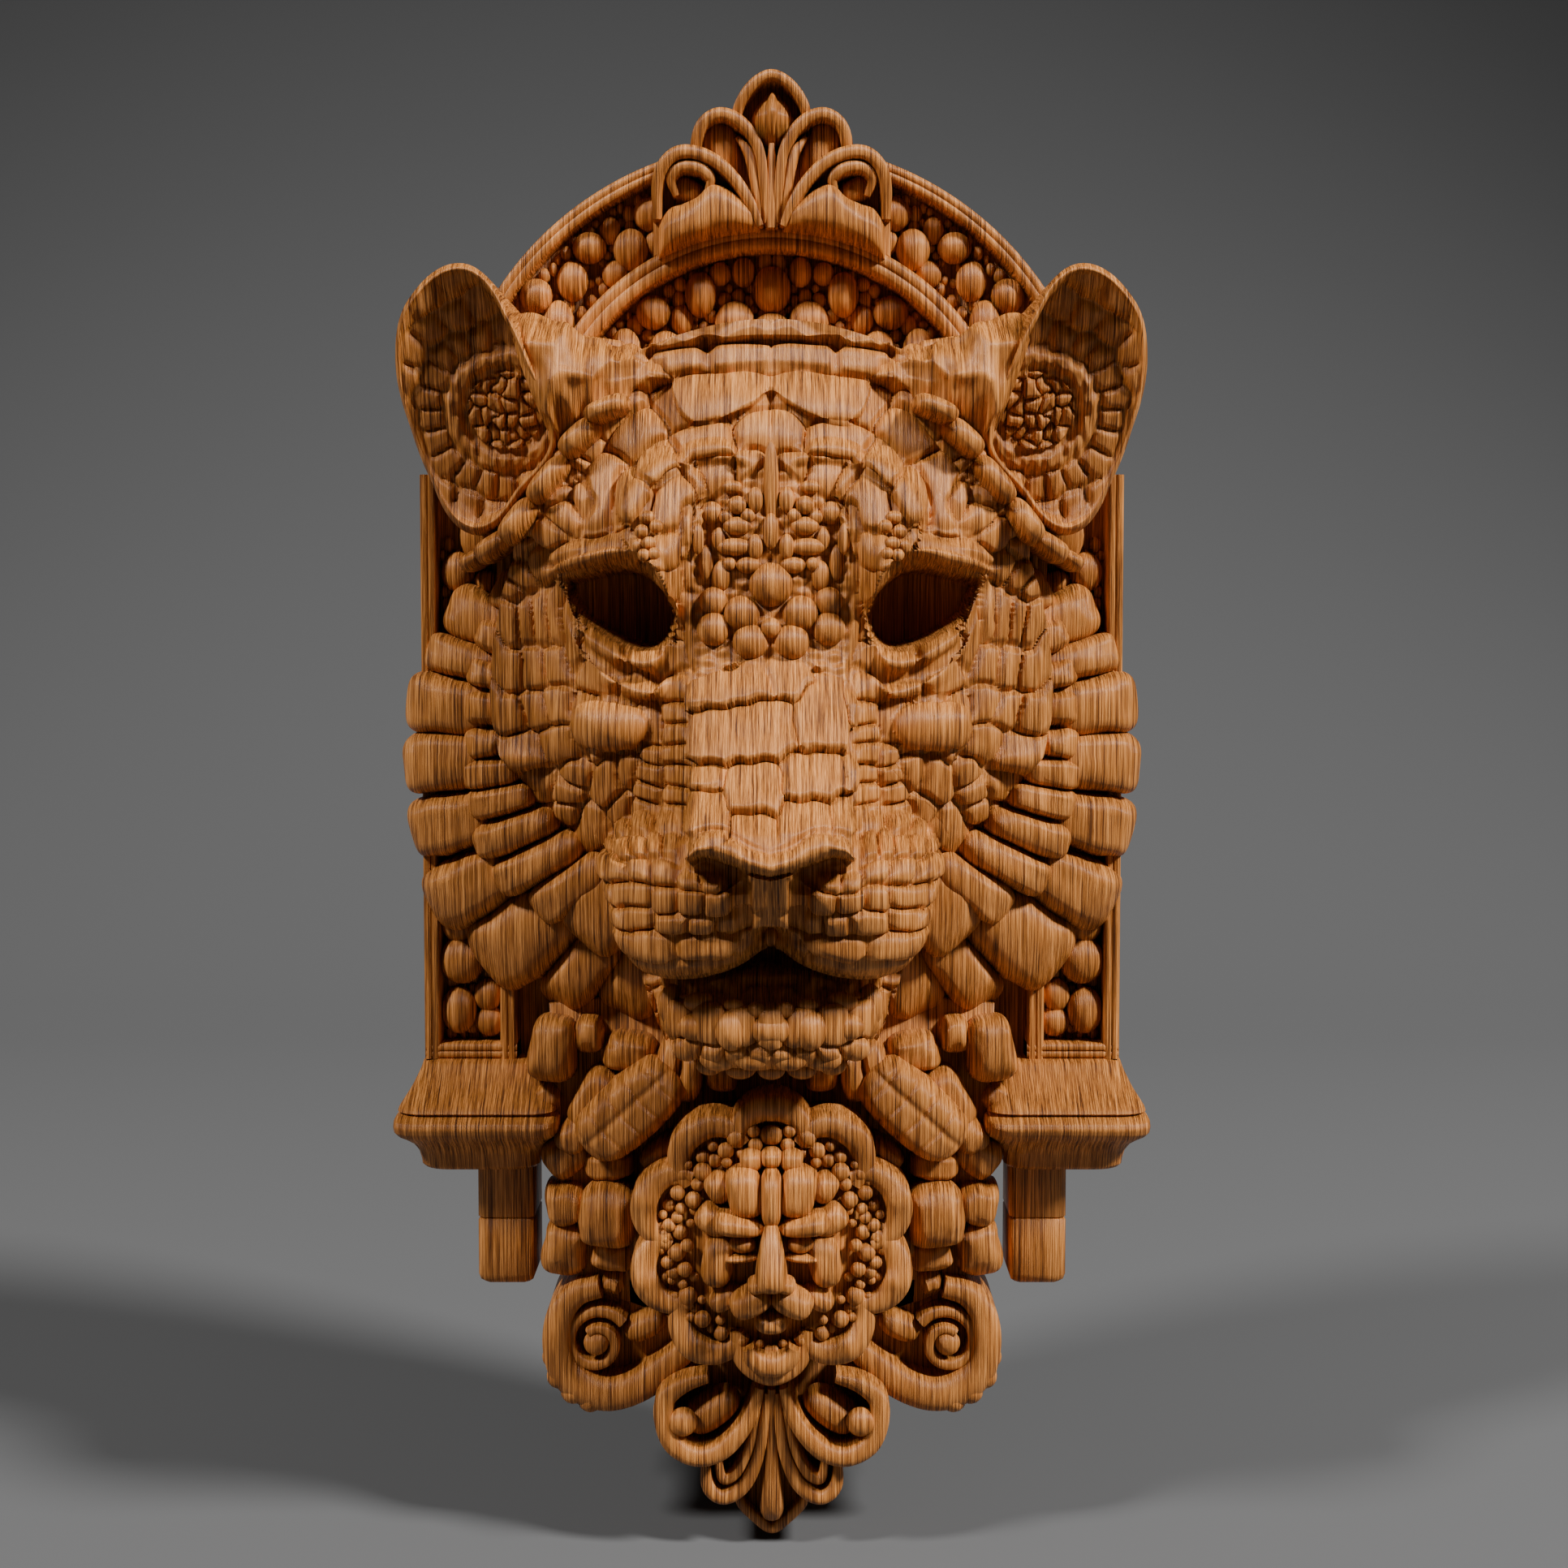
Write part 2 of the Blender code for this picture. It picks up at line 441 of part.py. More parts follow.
def add_capitals(block):
    """A moulded bracket under each side of the frame, with a peg below it."""
    centre = BOARD_HALF_WIDTH + CAPITAL_OVERHANG - CAPITAL_HALF_WIDTH
    # each step: share of the height, share of the overhang, share of the reach
    profile = ((0.0, 0.0, 0.52), (0.02, 0.1, 0.58), (0.09, 0.18, 0.63), (0.23, 0.44, 0.75),
               (0.375, 0.82, 0.91), (0.44, 0.86, 0.92), (0.49, 0.98, 0.985), (0.54, 1.0, 1.0),
               (0.60, 0.97, 0.98), (0.66, 0.78, 0.92), (0.75, 0.38, 0.79), (0.83, 0.2, 0.73),
               (0.92, 0.12, 0.70), (1.0, 0.0, 0.66))
    corner = np.radians((0, 30, 60, 90))
    for side in (-1, 1):
        rings = []
        for down, out, reach in profile:
            half = CAPITAL_HALF_WIDTH - CAPITAL_OVERHANG * (1 - out)
            z = FRAME_BOTTOM - CAPITAL_HEIGHT * down
            front = CAPITAL_REACH * reach - CAPITAL_CORNER
            across = half - CAPITAL_CORNER + CAPITAL_CORNER * np.cos(corner)
            rounded = list(zip(across, -front - CAPITAL_CORNER * np.sin(corner)))
            ring = [(-half, BACK_SINK * UNIT), (half, BACK_SINK * UNIT), *rounded]
            ring += [(-x, y) for x, y in rounded[::-1]]
            rings.append([(side * centre + x, y, z) for x, y in ring])
        block.add_rings(np.array(rings)[::-1])
        peg_x = side * (BOARD_HALF_WIDTH - CAPITAL_OVERHANG - PEG_WIDTH)
        peg_top = FRAME_BOTTOM - CAPITAL_HEIGHT
        half = PEG_WIDTH / 2
        extrude(block, [(peg_x - half, peg_top + 0.004), (peg_x - half, peg_top - PEG_LENGTH),
                        (peg_x + half, peg_top - PEG_LENGTH), (peg_x + half, peg_top + 0.004)],
                -BACK_SINK * UNIT, PEG_REACH)


def spoon(block, foot, base, tip, bend, half_width, reach, neck=0.35, hollow=7.0, rib=0.0):
    """A spoon-shaped lobe from base to tip, both in units over the foot: narrow at its neck, round
    at its end, with a raised rim round a hollow and, where asked, a rib down the middle. It bends
    to one side."""
    u = 0.5 - 0.5 * np.cos(np.linspace(0.12, math.pi - 0.06, 21))[:, None]
    v = np.linspace(-1, 1, 15)[None, :]
    base, tip = np.array(base, float), np.array(tip, float)
    run = tip - base
    sideways = np.array([-run[1], run[0]]) / np.hypot(*run)
    widest = 0.64
    round_end = np.sqrt(np.clip(1 - (np.clip(u - widest, 0, None) / (1 - widest)) ** 2, 0, 1))
    width = half_width * (neck + (1 - neck) * smooth_step(0, widest, u)) * round_end
    across = bend * np.sin(u * math.pi) + width * v
    x = base[0] + run[0] * u + sideways[0] * across
    z = base[1] + run[1] * u + sideways[1] * across
    edge = (1 - np.abs(v)) * width
    height = reach - hollow * smooth_step(3.2, 6.2, edge) + rib * smooth_step(3.5, 1.0, np.abs(v) * width)
    height = np.minimum(height, reach) - 6 * smooth_step(1.6, 0.0, edge)
    block.add_sheet(x * UNIT, foot + z * UNIT, height * UNIT, -BACK_SINK * UNIT)


def add_leaf(block, side):
    """A plump leaf that sits on the lunette's rim, its upper edge rising to a peak."""
    u, v = np.linspace(-1, 1, 31)[:, None], np.linspace(-1, 1, 25)[None, :]
    out = 25.2 + 20.8 * u
    low = ARCH_CENTRE + np.sqrt(LUNETTE_RADIUS ** 2 - (out * UNIT) ** 2) - 3 * UNIT
    high = ARCH_CENTRE + LUNETTE_RADIUS + smooth_curve(out, LEAF_EDGE[:, 0], LEAF_EDGE[:, 1]) * UNIT
    cushion = np.clip(1 - np.abs(u) ** 3.2, 0, 1) ** 0.45 * np.clip(1 - np.abs(v) ** 3.2, 0, 1) ** 0.45
    z = (low + high) / 2 + (high - low) / 2 * v
    block.add_sheet(side * out * UNIT + 0 * v, z, (36 + 15 * cushion) * UNIT, -BACK_SINK * UNIT)


def add_crest(block):
    """The palmette at the top of the arch: one rounded lobe with a bud, two pairs of lobes, and a
    pair of plump leaves at the foot. It stands on the lunette's rim."""
    foot = ARCH_CENTRE + LUNETTE_RADIUS
    ground = np.array([(48, -12), (48, 14), (30, 26), (10, 38), (-10, 38), (-30, 26), (-48, 14), (-48, -12),
                       (0, -2)]) * UNIT
    extrude(block, ground + (0, foot), -BACK_SINK * UNIT, 32 * UNIT)
    spoon(block, foot, (0, 2), (0, 61.6), 0, 16.2, 47, 0.3, 9)
    petal(block, (0, foot + 43 * UNIT), 50 * UNIT, 90, 12 * UNIT, 8 * UNIT, 14 * UNIT, square=1.15)
    for side in (-1, 1):
        spoon(block, foot, (side * 3, 0), (side * 27, 46), side * 3, 13, 46, 0.3, 7)
        spoon(block, foot, (side * 6, -2), (side * 47.5, 26), side * 6, 13, 48.5, 0.3, 7)
        add_leaf(block, side)


def spiral_path(centre, start_radius, turns, start_angle, hand, count):
    """A spiral that shrinks evenly towards its centre."""
    t = np.linspace(0, 1, count)
    radius = start_radius * (1 - 0.82 * t)
    angle = np.radians(start_angle) + hand * t * turns * 2 * math.pi
    return np.stack([centre[0] + radius * np.cos(angle), centre[1] + radius * np.sin(angle)], 1)


def add_scrolls(block):
    """The two large scrolls beside the medallion and the palmette that ends the carving."""
    turn = np.radians(np.arange(0, 360, 10))
    up = SCROLL_REACH
    for side in (-1, 1):
        out, low = 23.0, 28.0
        disc = np.stack([side * 72.5 + out * np.cos(turn), -220 + low * np.sin(turn)], 1)
        extrude(block, disc * UNIT, -BACK_SINK * UNIT, (up - 13) * UNIT)
        extrude(block, np.array([(side * 60, -195), (side * 60, -243), (side * 30, -226),
                                 (side * 30, -195)]) * UNIT, -BACK_SINK * UNIT, (up - 15) * UNIT)
        # the band leaves the medallion, passes under the scroll and up its outer side
        sweep_angle = np.radians(np.linspace(-62, -205, 26))
        band = np.stack([side * (72.5 - (out - 4.5) * np.cos(sweep_angle)),
                         -220 + (low - 4.5) * np.sin(sweep_angle)], 1)
        tail = np.stack([side * np.linspace(34, 62, 6), np.linspace(-222, -240, 6)], 1)
        sweep(block, np.concatenate([tail, band]) * UNIT, np.array(square_rim(10, 4, up)) * UNIT)
        coil = spiral_path((side * 72.5, -218.5), 12, 1.25, 90, side, 50)
        sweep(block, coil * UNIT, np.array(square_rim(5, 4, up - 2)) * UNIT)
        spoon(block, 0, (side * 4, -228), (side * 46, -254), -side * 7, 14, PALMETTE_REACH, 0.45, 9)
        ball(block, side * 36.5 * UNIT, -247 * UNIT, (PALMETTE_REACH - 1) * UNIT, 6 * UNIT)
        spoon(block, 0, (side * 3, -232), (side * 26, -287), side * 2, 11, PALMETTE_REACH - 4, 0.35, 8)
    spoon(block, 0, (0, -232), (0, -301), 0, 13.5, PALMETTE_REACH - 9, 0.3, 7, 6)


def medallion_edge(angle):
    """Radius of the scalloped rim, with a lobe at the top and one at the bottom."""
    lobes = np.abs(np.cos((angle - math.pi / 2) * MEDALLION_LOBES / 2)) ** 0.8
    return MEDALLION_RADIUS * (0.93 + 0.07 * lobes)


def mask_reach(x, z):
    """The beast mask in the medallion, in units: forehead tufts, brows over half-shut eyes, a broad
    nose, two muzzle pads, chin and cheeks."""
    a = np.abs(x)
    reach = 80 + 16 * dome(a, z, 0, -2, 36, 46)
    reach += 6 * dome(a, z, 10.5, 21, 8, 11) + 6 * dome(a, z, 0, 20, 6, 12)
    reach += 7 * dome(a, z - 0.12 * a, 12, 7, 11, 5.5) - 3.5 * dome(a, z, 11.5, 0.5, 6.5, 4.2)
    widen = 3.4 + 0.25 * np.clip(10 - z, 0, 24)
    reach += 11 * np.clip(1 - (a / widen) ** 3, 0, 1) * smooth_step(13, 6, z) * smooth_step(-19, -15, z)
    reach += 8 * dome(a, z, 8.3, -21.5, 8.6, 6.6) + 6 * dome(a, z, 0, -31, 7, 5)
    reach += 5 * dome(a, z, 21.5, -7, 7.5, 11)
    return reach


def add_medallion(block):
    angle = np.radians(np.arange(0, 360, 5))
    steps = ((0.02, 76), (0.5, 76), (0.74, 75), (0.80, 78), (0.88, 84.5), (0.95, 85.5), (1.0, 79), (0.99, 64),
             (0.975, 20))
    rings = []
    for share, reach in steps:
        radius = medallion_edge(angle) * share
        rings.append(np.stack([MEDALLION_CENTRE[0] + radius * np.cos(angle), -reach + 0 * angle,
                               MEDALLION_CENTRE[1] + radius * np.sin(angle)], -1))
    block.add_rings(np.array(rings) * UNIT)
    s, t = np.meshgrid(np.linspace(-1, 1, 41), np.linspace(-1, 1, 35), indexing="ij")
    x, z = 33 * t * np.sqrt(1 - 0.5 * s * s), 41 * s * np.sqrt(1 - 0.5 * t * t)
    place = (x + MEDALLION_CENTRE[0], z + MEDALLION_CENTRE[1])
    block.add_sheet(place[0] * UNIT, place[1] * UNIT, mask_reach(x, z) * UNIT, 60 * UNIT)
    petal(block, (0, -216 * UNIT), 93 * UNIT, 0, 12.5 * UNIT, 6 * UNIT, 20 * UNIT)


def wood():
    material = bpy.data.materials.new("striped_wood")
    material.use_nodes = True
    shader = material.node_tree.nodes["Principled BSDF"]
    shader.inputs["Base Color"].default_value = (0.42, 0.19, 0.07, 1.0)
    shader.inputs["Roughness"].default_value = 0.5
    shader.inputs["Metallic"].default_value = 0.0
    return material


def fuse(block):
    """One mesh of all shells, fused by a voxel remesh, thinned to the wanted number of triangles and
    cut flat at the back."""
    mesh = bpy.data.meshes.new("tiger_head_relief")
    mesh.from_pydata(np.concatenate(block.points).tolist(), [], block.faces)
    mesh.materials.append(wood())
    carving = bpy.data.objects.new("tiger_head_relief", mesh)
    bpy.context.scene.collection.objects.link(carving)
    remesh = carving.modifiers.new("one_block", "REMESH")
    remesh.mode = "VOXEL"
    remesh.voxel_size = VOXEL
    bpy.context.view_layer.update()
    evaluated = carving.evaluated_get(bpy.context.evaluated_depsgraph_get())
    quads = len(evaluated.data.polygons)
    thin = carving.modifiers.new("facets", "DECIMATE")
    thin.ratio = TRIANGLES / (2.0 * quads)
    return carving


def cut_back(carving):
    """Everything behind the plane y = 0 is planed off."""
    mesh = bpy.data.meshes.new("wall_plane_cutter")
    box = bmesh.new()
    bmesh.ops.create_cube(box, size=2.0)
    for vertex in box.verts:
        vertex.co.y = vertex.co.y * 0.05 + 0.05
    box.to_mesh(mesh)
    box.free()
    cutter = bpy.data.objects.new("wall_plane_cutter", mesh)
    bpy.context.scene.collection.objects.link(cutter)
    cutter.hide_render = True
    cutter.display_type = "WIRE"
    plane = carving.modifiers.new("flat_back", "BOOLEAN")
    plane.operation = "DIFFERENCE"
    plane.solver = "EXACT"
    plane.object = cutter


def main():
    clear_scene()
    block = Block()
    add_board(block)
    add_frame(block)
    add_capitals(block)
    add_crest(block)
    add_scrolls(block)
    add_head(block)
    add_ears(block)
    add_mane(block)
    add_medallion(block)
    cut_back(fuse(block))


main()
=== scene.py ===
# Tiger head relief carving: the finished surface over the solid block, in striped hardwood.
# The carving is worked out in millimetres as (x, z, reach): reach is how far a point stands out
# from the wall, so it becomes -Y in the scene.
import math
import bpy
import numpy as np
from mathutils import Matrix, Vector


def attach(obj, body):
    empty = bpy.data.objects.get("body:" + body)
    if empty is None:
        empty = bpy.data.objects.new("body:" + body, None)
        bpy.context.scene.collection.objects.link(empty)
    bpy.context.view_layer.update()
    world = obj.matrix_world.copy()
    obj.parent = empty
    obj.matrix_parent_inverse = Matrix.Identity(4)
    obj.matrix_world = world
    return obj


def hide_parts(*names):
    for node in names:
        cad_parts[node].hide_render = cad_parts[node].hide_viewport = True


sin, cos = np.sin, np.cos
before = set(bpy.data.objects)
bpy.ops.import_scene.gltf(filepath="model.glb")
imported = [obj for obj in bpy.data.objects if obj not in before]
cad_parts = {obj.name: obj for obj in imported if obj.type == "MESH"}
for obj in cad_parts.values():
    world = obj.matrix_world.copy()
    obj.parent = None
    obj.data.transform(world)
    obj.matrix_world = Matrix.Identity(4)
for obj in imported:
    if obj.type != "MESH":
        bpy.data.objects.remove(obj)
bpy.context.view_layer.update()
node = "tiger_head_relief"


# curves and bumps used by every piece
def ramp(low, high, value):
    # 0 up to low, 1 from high on, and a smooth S between; low may be the larger of the two
    t = np.clip((value - low) / (high - low), 0.0, 1.0)
    return t * t * (3.0 - 2.0 * t)


def window(value, low, lowEnd, highEnd, high):
    # rises from 0 to 1 between the first two places, falls back to 0 between the last two
    return ramp(low, lowEnd, value) * ramp(highEnd, high, value)


def ridge(value, width, power=2):
    # 1 where the value is 0, falling off on both sides over the width
    return np.exp(-(value / width) ** power)


def smoothCurve(where, at, values):
    # a smooth line through the knots: Hermite pieces whose slopes are those of the neighbours
    order = np.argsort(at)
    at, values = np.asarray(at, float)[order], np.asarray(values, float)[order]
    slope = np.gradient(values, at)
    where = np.clip(where, at[0], at[-1])
    k = np.clip(np.searchsorted(at, where) - 1, 0, len(at) - 2)
    step = at[k + 1] - at[k]
    t = (where - at[k]) / step
    return ((1 + 2 * t) * (1 - t) ** 2 * values[k] + t * (1 - t) ** 2 * step * slope[k]
            + t * t * (3 - 2 * t) * values[k + 1] + t * t * (t - 1) * step * slope[k + 1])


def lineOf(table, where, column=1):
    # the smooth line of one column of a table over its first column
    table = np.array(table, float)
    return smoothCurve(where, table[:, 0], table[:, column])


def through(table, where):
    # the smooth lines of all columns of a table, counted in its rows
    table = np.asarray(table, float)
    return [smoothCurve(where, np.arange(len(table)), column) for column in table.T]


def smoothMax(a, b, blend):
    # the larger of two, rounded where they meet
    h = np.clip(0.5 + 0.5 * (a - b) / blend, 0.0, 1.0)
    return b + (a - b) * h + blend * h * (1.0 - h)


def dome(x, z, cx, cz, rx, rz):
    # half an ellipsoid, 1 at its centre and 0 at its rim
    return np.sqrt(np.clip(1.0 - ((x - cx) / rx) ** 2 - ((z - cz) / rz) ** 2, 0.0, None))


def swell(x, z, cx, cz, rx, rz):
    # a round hill, 1 at its centre
    return np.exp(-((x - cx) / rx) ** 2 - ((z - cz) / rz) ** 2)


def chance(i, j, seed):
    # a repeatable number from 0 to 1 for each place
    n = sin(i * 127.1 + j * 311.7 + seed * 74.7) * 43758.5453
    return n - np.floor(n)


def waver(x, z, size, seed):
    # slow unevenness of about -1 to 1: four crossed sine waves
    total = 0
    for k in range(4):
        turn = seed * 1.7 + k * 2.4
        reach = (1.0 + 0.35 * k) * 2 * math.pi / size
        total = total + sin((x * cos(turn) + z * sin(turn)) * reach + seed * 5.1 + k * 1.3)
    return total / 2.6


def cobbles(u, v, seed, jitter=0.35, square=4.0):
    # stones on a grid of unit cells, every other row moved by half a cell: for each point the
    # distance to the crack round its stone, and the stone's own chance number
    row = np.floor(v)
    best, second = np.full(np.shape(u), 9.0), np.full(np.shape(u), 9.0)
    stone = np.zeros(np.shape(u))
    for dr in (-1, 0, 1):
        r = row + dr
        shift = 0.5 * np.mod(r, 2)
        column = np.floor(u - shift)
        for dc in (-1, 0, 1):
            c = column + dc
            du = np.abs(u - (c + shift + 0.5 + jitter * (chance(c, r, seed) - 0.5)))
            dv = np.abs(v - (r + 0.5 + jitter * (chance(c, r, seed + 9) - 0.5)))
            d = (du ** square + dv ** square) ** (1 / square)
            closer = d < best
            second = np.where(closer, best, np.minimum(second, d))
            stone = np.where(closer, chance(c, r, seed + 5), stone)
            best = np.minimum(best, d)
    return second - best, stone


def scales(u, v, seed, crack=1.3, uneven=1.0, plump=0.8, jitter=0.35, square=4.0):
    # relief in millimetres of a field of cobbles: a crack round each, its own height, a soft crown
    gap, stone = cobbles(u, v, seed, jitter, square)
    return (crack * (ramp(0.0, 0.26, gap) - 1) + uneven * (stone - 0.5)
            + plump * (ramp(0.0, 0.6, gap) - 0.5))


def carve(grid, relief):
    # moves every point of a face along its normal by the relief
    along, across = np.gradient(grid, axis=0), np.gradient(grid, axis=1)
    normal = np.cross(along, across)
    normal /= np.linalg.norm(normal, axis=2, keepdims=True) + 1e-9
    if normal[..., 2].mean() < 0:
        normal = -normal
    return grid + normal * relief[..., None]


def circle(count):
    # that many angles all the way round
    return np.linspace(0, 2 * math.pi, count, endpoint=False)


def polar(centre, radius, angle):
    # x and z at a radius and an angle from a centre
    return centre[0] + radius * cos(angle), centre[1] + radius * sin(angle)


def turned(place, direction, run, side):
    # x and z of what lies run along a direction in degrees from a place, and side to its left
    turn = math.radians(direction)
    return (place[0] + run * cos(turn) - side * sin(turn),
            place[1] + run * sin(turn) + side * cos(turn))


def surface(x, z, reach):
    # points of (x, z, reach), each of which may be given for rows or columns alone
    return np.stack(np.broadcast_arrays(x, z, reach), -1)


def gridQuads(n, m, closed):
    # the cells of a grid of n rows by m columns, which may close on itself sideways
    i, j = np.meshgrid(np.arange(n - 1), np.arange(m if closed else m - 1), indexing="ij")
    k = (j + 1) % m
    return np.stack([i * m + j, i * m + k, (i + 1) * m + k, (i + 1) * m + j], -1).reshape(-1, 4)


def endFans(n, m):
    # closes both ends of n rings of m points, round the two points that come after them
    j = np.arange(m)
    k, last = (j + 1) % m, (n - 1) * m
    return np.concatenate([np.stack([k, j, j * 0 + n * m], 1),
                           np.stack([last + j, last + k, j * 0 + n * m + 1], 1)])


def addObject(name, data):
    # a new object in the scene for a mesh, a lamp or a camera
    made = bpy.data.objects.new(name, data)
    bpy.context.scene.collection.objects.link(made)
    return made


class Clay:
    # collects closed shells in millimetres, with both also mirrored, and makes one object of them
    backGap, sharpAngle = 0.25, 62

    def __init__(self):
        self.points, self.quads, self.tris, self.count = [], [], [], 0

    def add(self, points, quads, tris, both=False):
        # a shell whose volume comes out negative is inside out, and is turned
        a, b, c, d = (points[quads[:, k]] for k in range(4))
        e, f, g = (points[tris[:, k]] for k in range(3))
        volume = (a * (np.cross(b, c) + np.cross(c, d))).sum() + (e * np.cross(f, g)).sum()
        if volume < 0:
            quads, tris = quads[:, ::-1], tris[:, ::-1]
        self.points.append(points)
        self.quads.append(quads + self.count)
        self.tris.append(tris + self.count)
        self.count += len(points)
        if both:
            self.add(points * (-1, 1, 1), quads, tris)

    def rings(self, grid, both=False):
        # grid[ring, place]: every ring is closed on itself, and a fan closes each end
        size = grid.shape[:2]
        ends = [(ring.min(0) + ring.max(0))[None] / 2 for ring in (grid[0], grid[-1])]
        self.add(np.concatenate([grid.reshape(-1, 3), *ends]), gridQuads(*size, True), endFans(*size), both)

    def sheet(self, grid, back, both=False):
        # grid[row, column]: an open carved face, closed by straight sides and a fan behind
        n, m = grid.shape[:2]
        edge = np.concatenate([np.arange(m), np.arange(1, n) * m + m - 1,
                               (n - 1) * m + np.arange(m - 2, -1, -1), np.arange(n - 2, 0, -1) * m])
        flat = grid.reshape(-1, 3)
        rear = flat[edge]
        rear[:, 2] = back
        k, count = np.arange(len(edge)), len(edge)
        following = (k + 1) % count
        sides = np.stack([edge, n * m + k, n * m + following, edge[following]], 1)
        tris = np.stack([n * m + k, k * 0 + n * m + count, n * m + following], 1)
        self.add(np.concatenate([flat, rear, rear.mean(0)[None]]),
                 np.concatenate([gridQuads(n, m, False), sides]), tris, both)

    def balls(self, places, radii, steps, both=False):
        # many ellipsoids at once: places and radii are (count, 3) in (x, z, reach)
        places, radii = (np.asarray(each, float).reshape(-1, 1, 3) for each in (places, radii))
        n, m = steps
        u, v = np.linspace(0, math.pi, n + 1)[1:-1, None], circle(m)
        body = surface(sin(u) * cos(v), cos(u), sin(u) * sin(v)).reshape(-1, 3)
        ball = np.concatenate([body, [(0, 1, 0), (0, -1, 0)]])
        step = (np.arange(len(places)) * len(ball))[:, None, None]
        self.add((places + radii * ball).reshape(-1, 3), (gridQuads(n - 1, m, True) + step).reshape(-1, 4),
                 (endFans(n - 1, m) + step).reshape(-1, 3), both)

    def build(self, name):
        # millimetres become metres and reach becomes -Y; nothing passes the flat back
        points, quads, tris = (np.concatenate(part) for part in (self.points, self.quads, self.tris))
        reach = np.where(points[:, 2] < 0, self.backGap, points[:, 2])
        place = np.stack([points[:, 0], -reach, points[:, 1]], 1) * 0.001
        mesh = bpy.data.meshes.new(name)
        mesh.vertices.add(len(place))
        mesh.vertices.foreach_set("co", place.astype(np.float32).ravel())
        mesh.loops.add(quads.size + tris.size)
        corners = np.concatenate([quads.ravel(), tris.ravel()]).astype(np.int32)
        mesh.loops.foreach_set("vertex_index", corners)
        starts = np.concatenate([np.arange(len(quads)) * 4, quads.size + np.arange(len(tris)) * 3])
        mesh.polygons.add(len(starts))
        mesh.polygons.foreach_set("loop_start", starts.astype(np.int32))
        mesh.polygons.foreach_set("use_smooth", np.ones(len(starts), bool))
        mesh.update()
        mesh.validate()
        mesh.set_sharp_from_angle(angle=math.radians(self.sharpAngle))
        mesh.materials.append(wood)
        piece = addObject(name, mesh)
        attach(piece, "root")
        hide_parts(node)
        print("carved", name, "-", len(quads) * 2 + len(tris), "triangles")


def signedPower(value, power):
    # a power that keeps the sign
    return np.sign(value) * np.abs(value) ** power


def petal(clay, place, reach, direction, halfLength, halfWidth, halfDepth, taper=0.0, square=0.6,
          droop=0.0, steps=(22, 32), rough=0.0, seed=0, both=True):
    # a plump petal: an ellipsoid with a squarer outline, wider towards its tip by the taper, its
    # tip drooping back to the board; roughness moves its skin by a slow waver
    u, v = np.linspace(0.03, math.pi - 0.03, steps[0])[:, None], circle(steps[1])
    run = -signedPower(cos(u), square)
    girth = sin(u) ** square * (1 + taper * run)
    wide = girth * signedPower(cos(v), square)
    deep = girth * signedPower(sin(v), 0.4 + 0.6 * square)
    swollen = 1 + rough * waver(run * 10, wide * 10, 14, seed)
    out = reach - halfDepth + deep * halfDepth * swollen - droop * (run + 1) ** 2 / 4
    clay.rings(surface(*turned(place, direction, run * halfLength, wide * halfWidth * swollen), out), both)


def petals(clay, rows, centre=(0, 0), **more):
    # a petal for each row of place, reach, direction, half length, half width, half depth, taper
    # and square; those left of the middle have a twin on the right
    for x, z, *rest in rows:
        petal(clay, (centre[0] + x, centre[1] + z), *rest, both=x < 0, **more)


def moulding(clay, path, section, both=False):
    # a closed section of (across, reach) points carried along a path of (x, z) points
    path, (across, reach) = np.asarray(path, float), np.array(section).T
    run = np.gradient(path, axis=0)
    run /= np.linalg.norm(run, axis=1)[:, None]
    clay.rings(surface(path[:, :1] + run[:, 1:] * across, path[:, 1:] - run[:, :1] * across, reach), both)


def band(clay, knots, back=0.4, steps=72, both=True):
    # a rounded band along a smooth line through knots of (x, z, half width, reach): its section is
    # an arch a little lower than its half width, on straight sides that go back into the wood
    x, z, half, reach = through(knots, np.linspace(0, len(knots) - 1, steps)[:, None])
    dx, dz = np.gradient(x, axis=0), np.gradient(z, axis=0)
    length = np.hypot(dx, dz)
    turn = np.linspace(0, math.pi, 13)
    across = np.concatenate([[1], cos(turn), [-1]]) * half
    side = 0 * x + back
    out = np.concatenate([side, reach - 0.95 * half * (1 - sin(turn) ** 0.8), side], axis=1)
    clay.rings(surface(x - dz / length * across, z + dx / length * across, out), both)


def mirrored(half):
    # the left half of a line or a closed outline, and then its mirror image backwards
    half = np.array(half, float)
    other = half[np.abs(half[:, 0]) > 1e-6][::-1]
    other[:, 0] *= -1
    return np.concatenate([half, other])


def arcPath(centre, radius, start, end, count):
    # (x, z) points on an arc round a centre, from one angle in degrees to another
    return np.stack(polar(centre, radius, np.radians(np.linspace(start, end, count))), 1)


def slab(clay, outline, back, front, ease=1.0, both=False):
    # a flat shape cut out along an outline, its front edge eased
    outline = np.asarray(outline, float)
    middle = (outline.min(0) + outline.max(0)) / 2
    inner = middle + (outline - middle) * (1 - ease / np.abs(outline - middle).max())
    rings = ((outline, back), (outline, front - ease), (inner, front))
    clay.rings(np.array([surface(*ring.T, reach) for ring, reach in rings]), both)


# striped hardwood
class Socket:
    # a value in the shader: + - * on it add Math nodes
    def __init__(self, paint, link):
        self.paint, self.link = paint, link

    def math(self, operation, *values):
        return self.paint.node("ShaderNodeMath", {"operation": operation}, values)

    def __add__(self, other):
        return self.math("ADD", self, other)

    def __sub__(self, other):
        return self.math("SUBTRACT", self, other)

    def __rsub__(self, other):
        return self.math("SUBTRACT", other, self)

    def __mul__(self, other):
        return self.math("MULTIPLY", self, other)


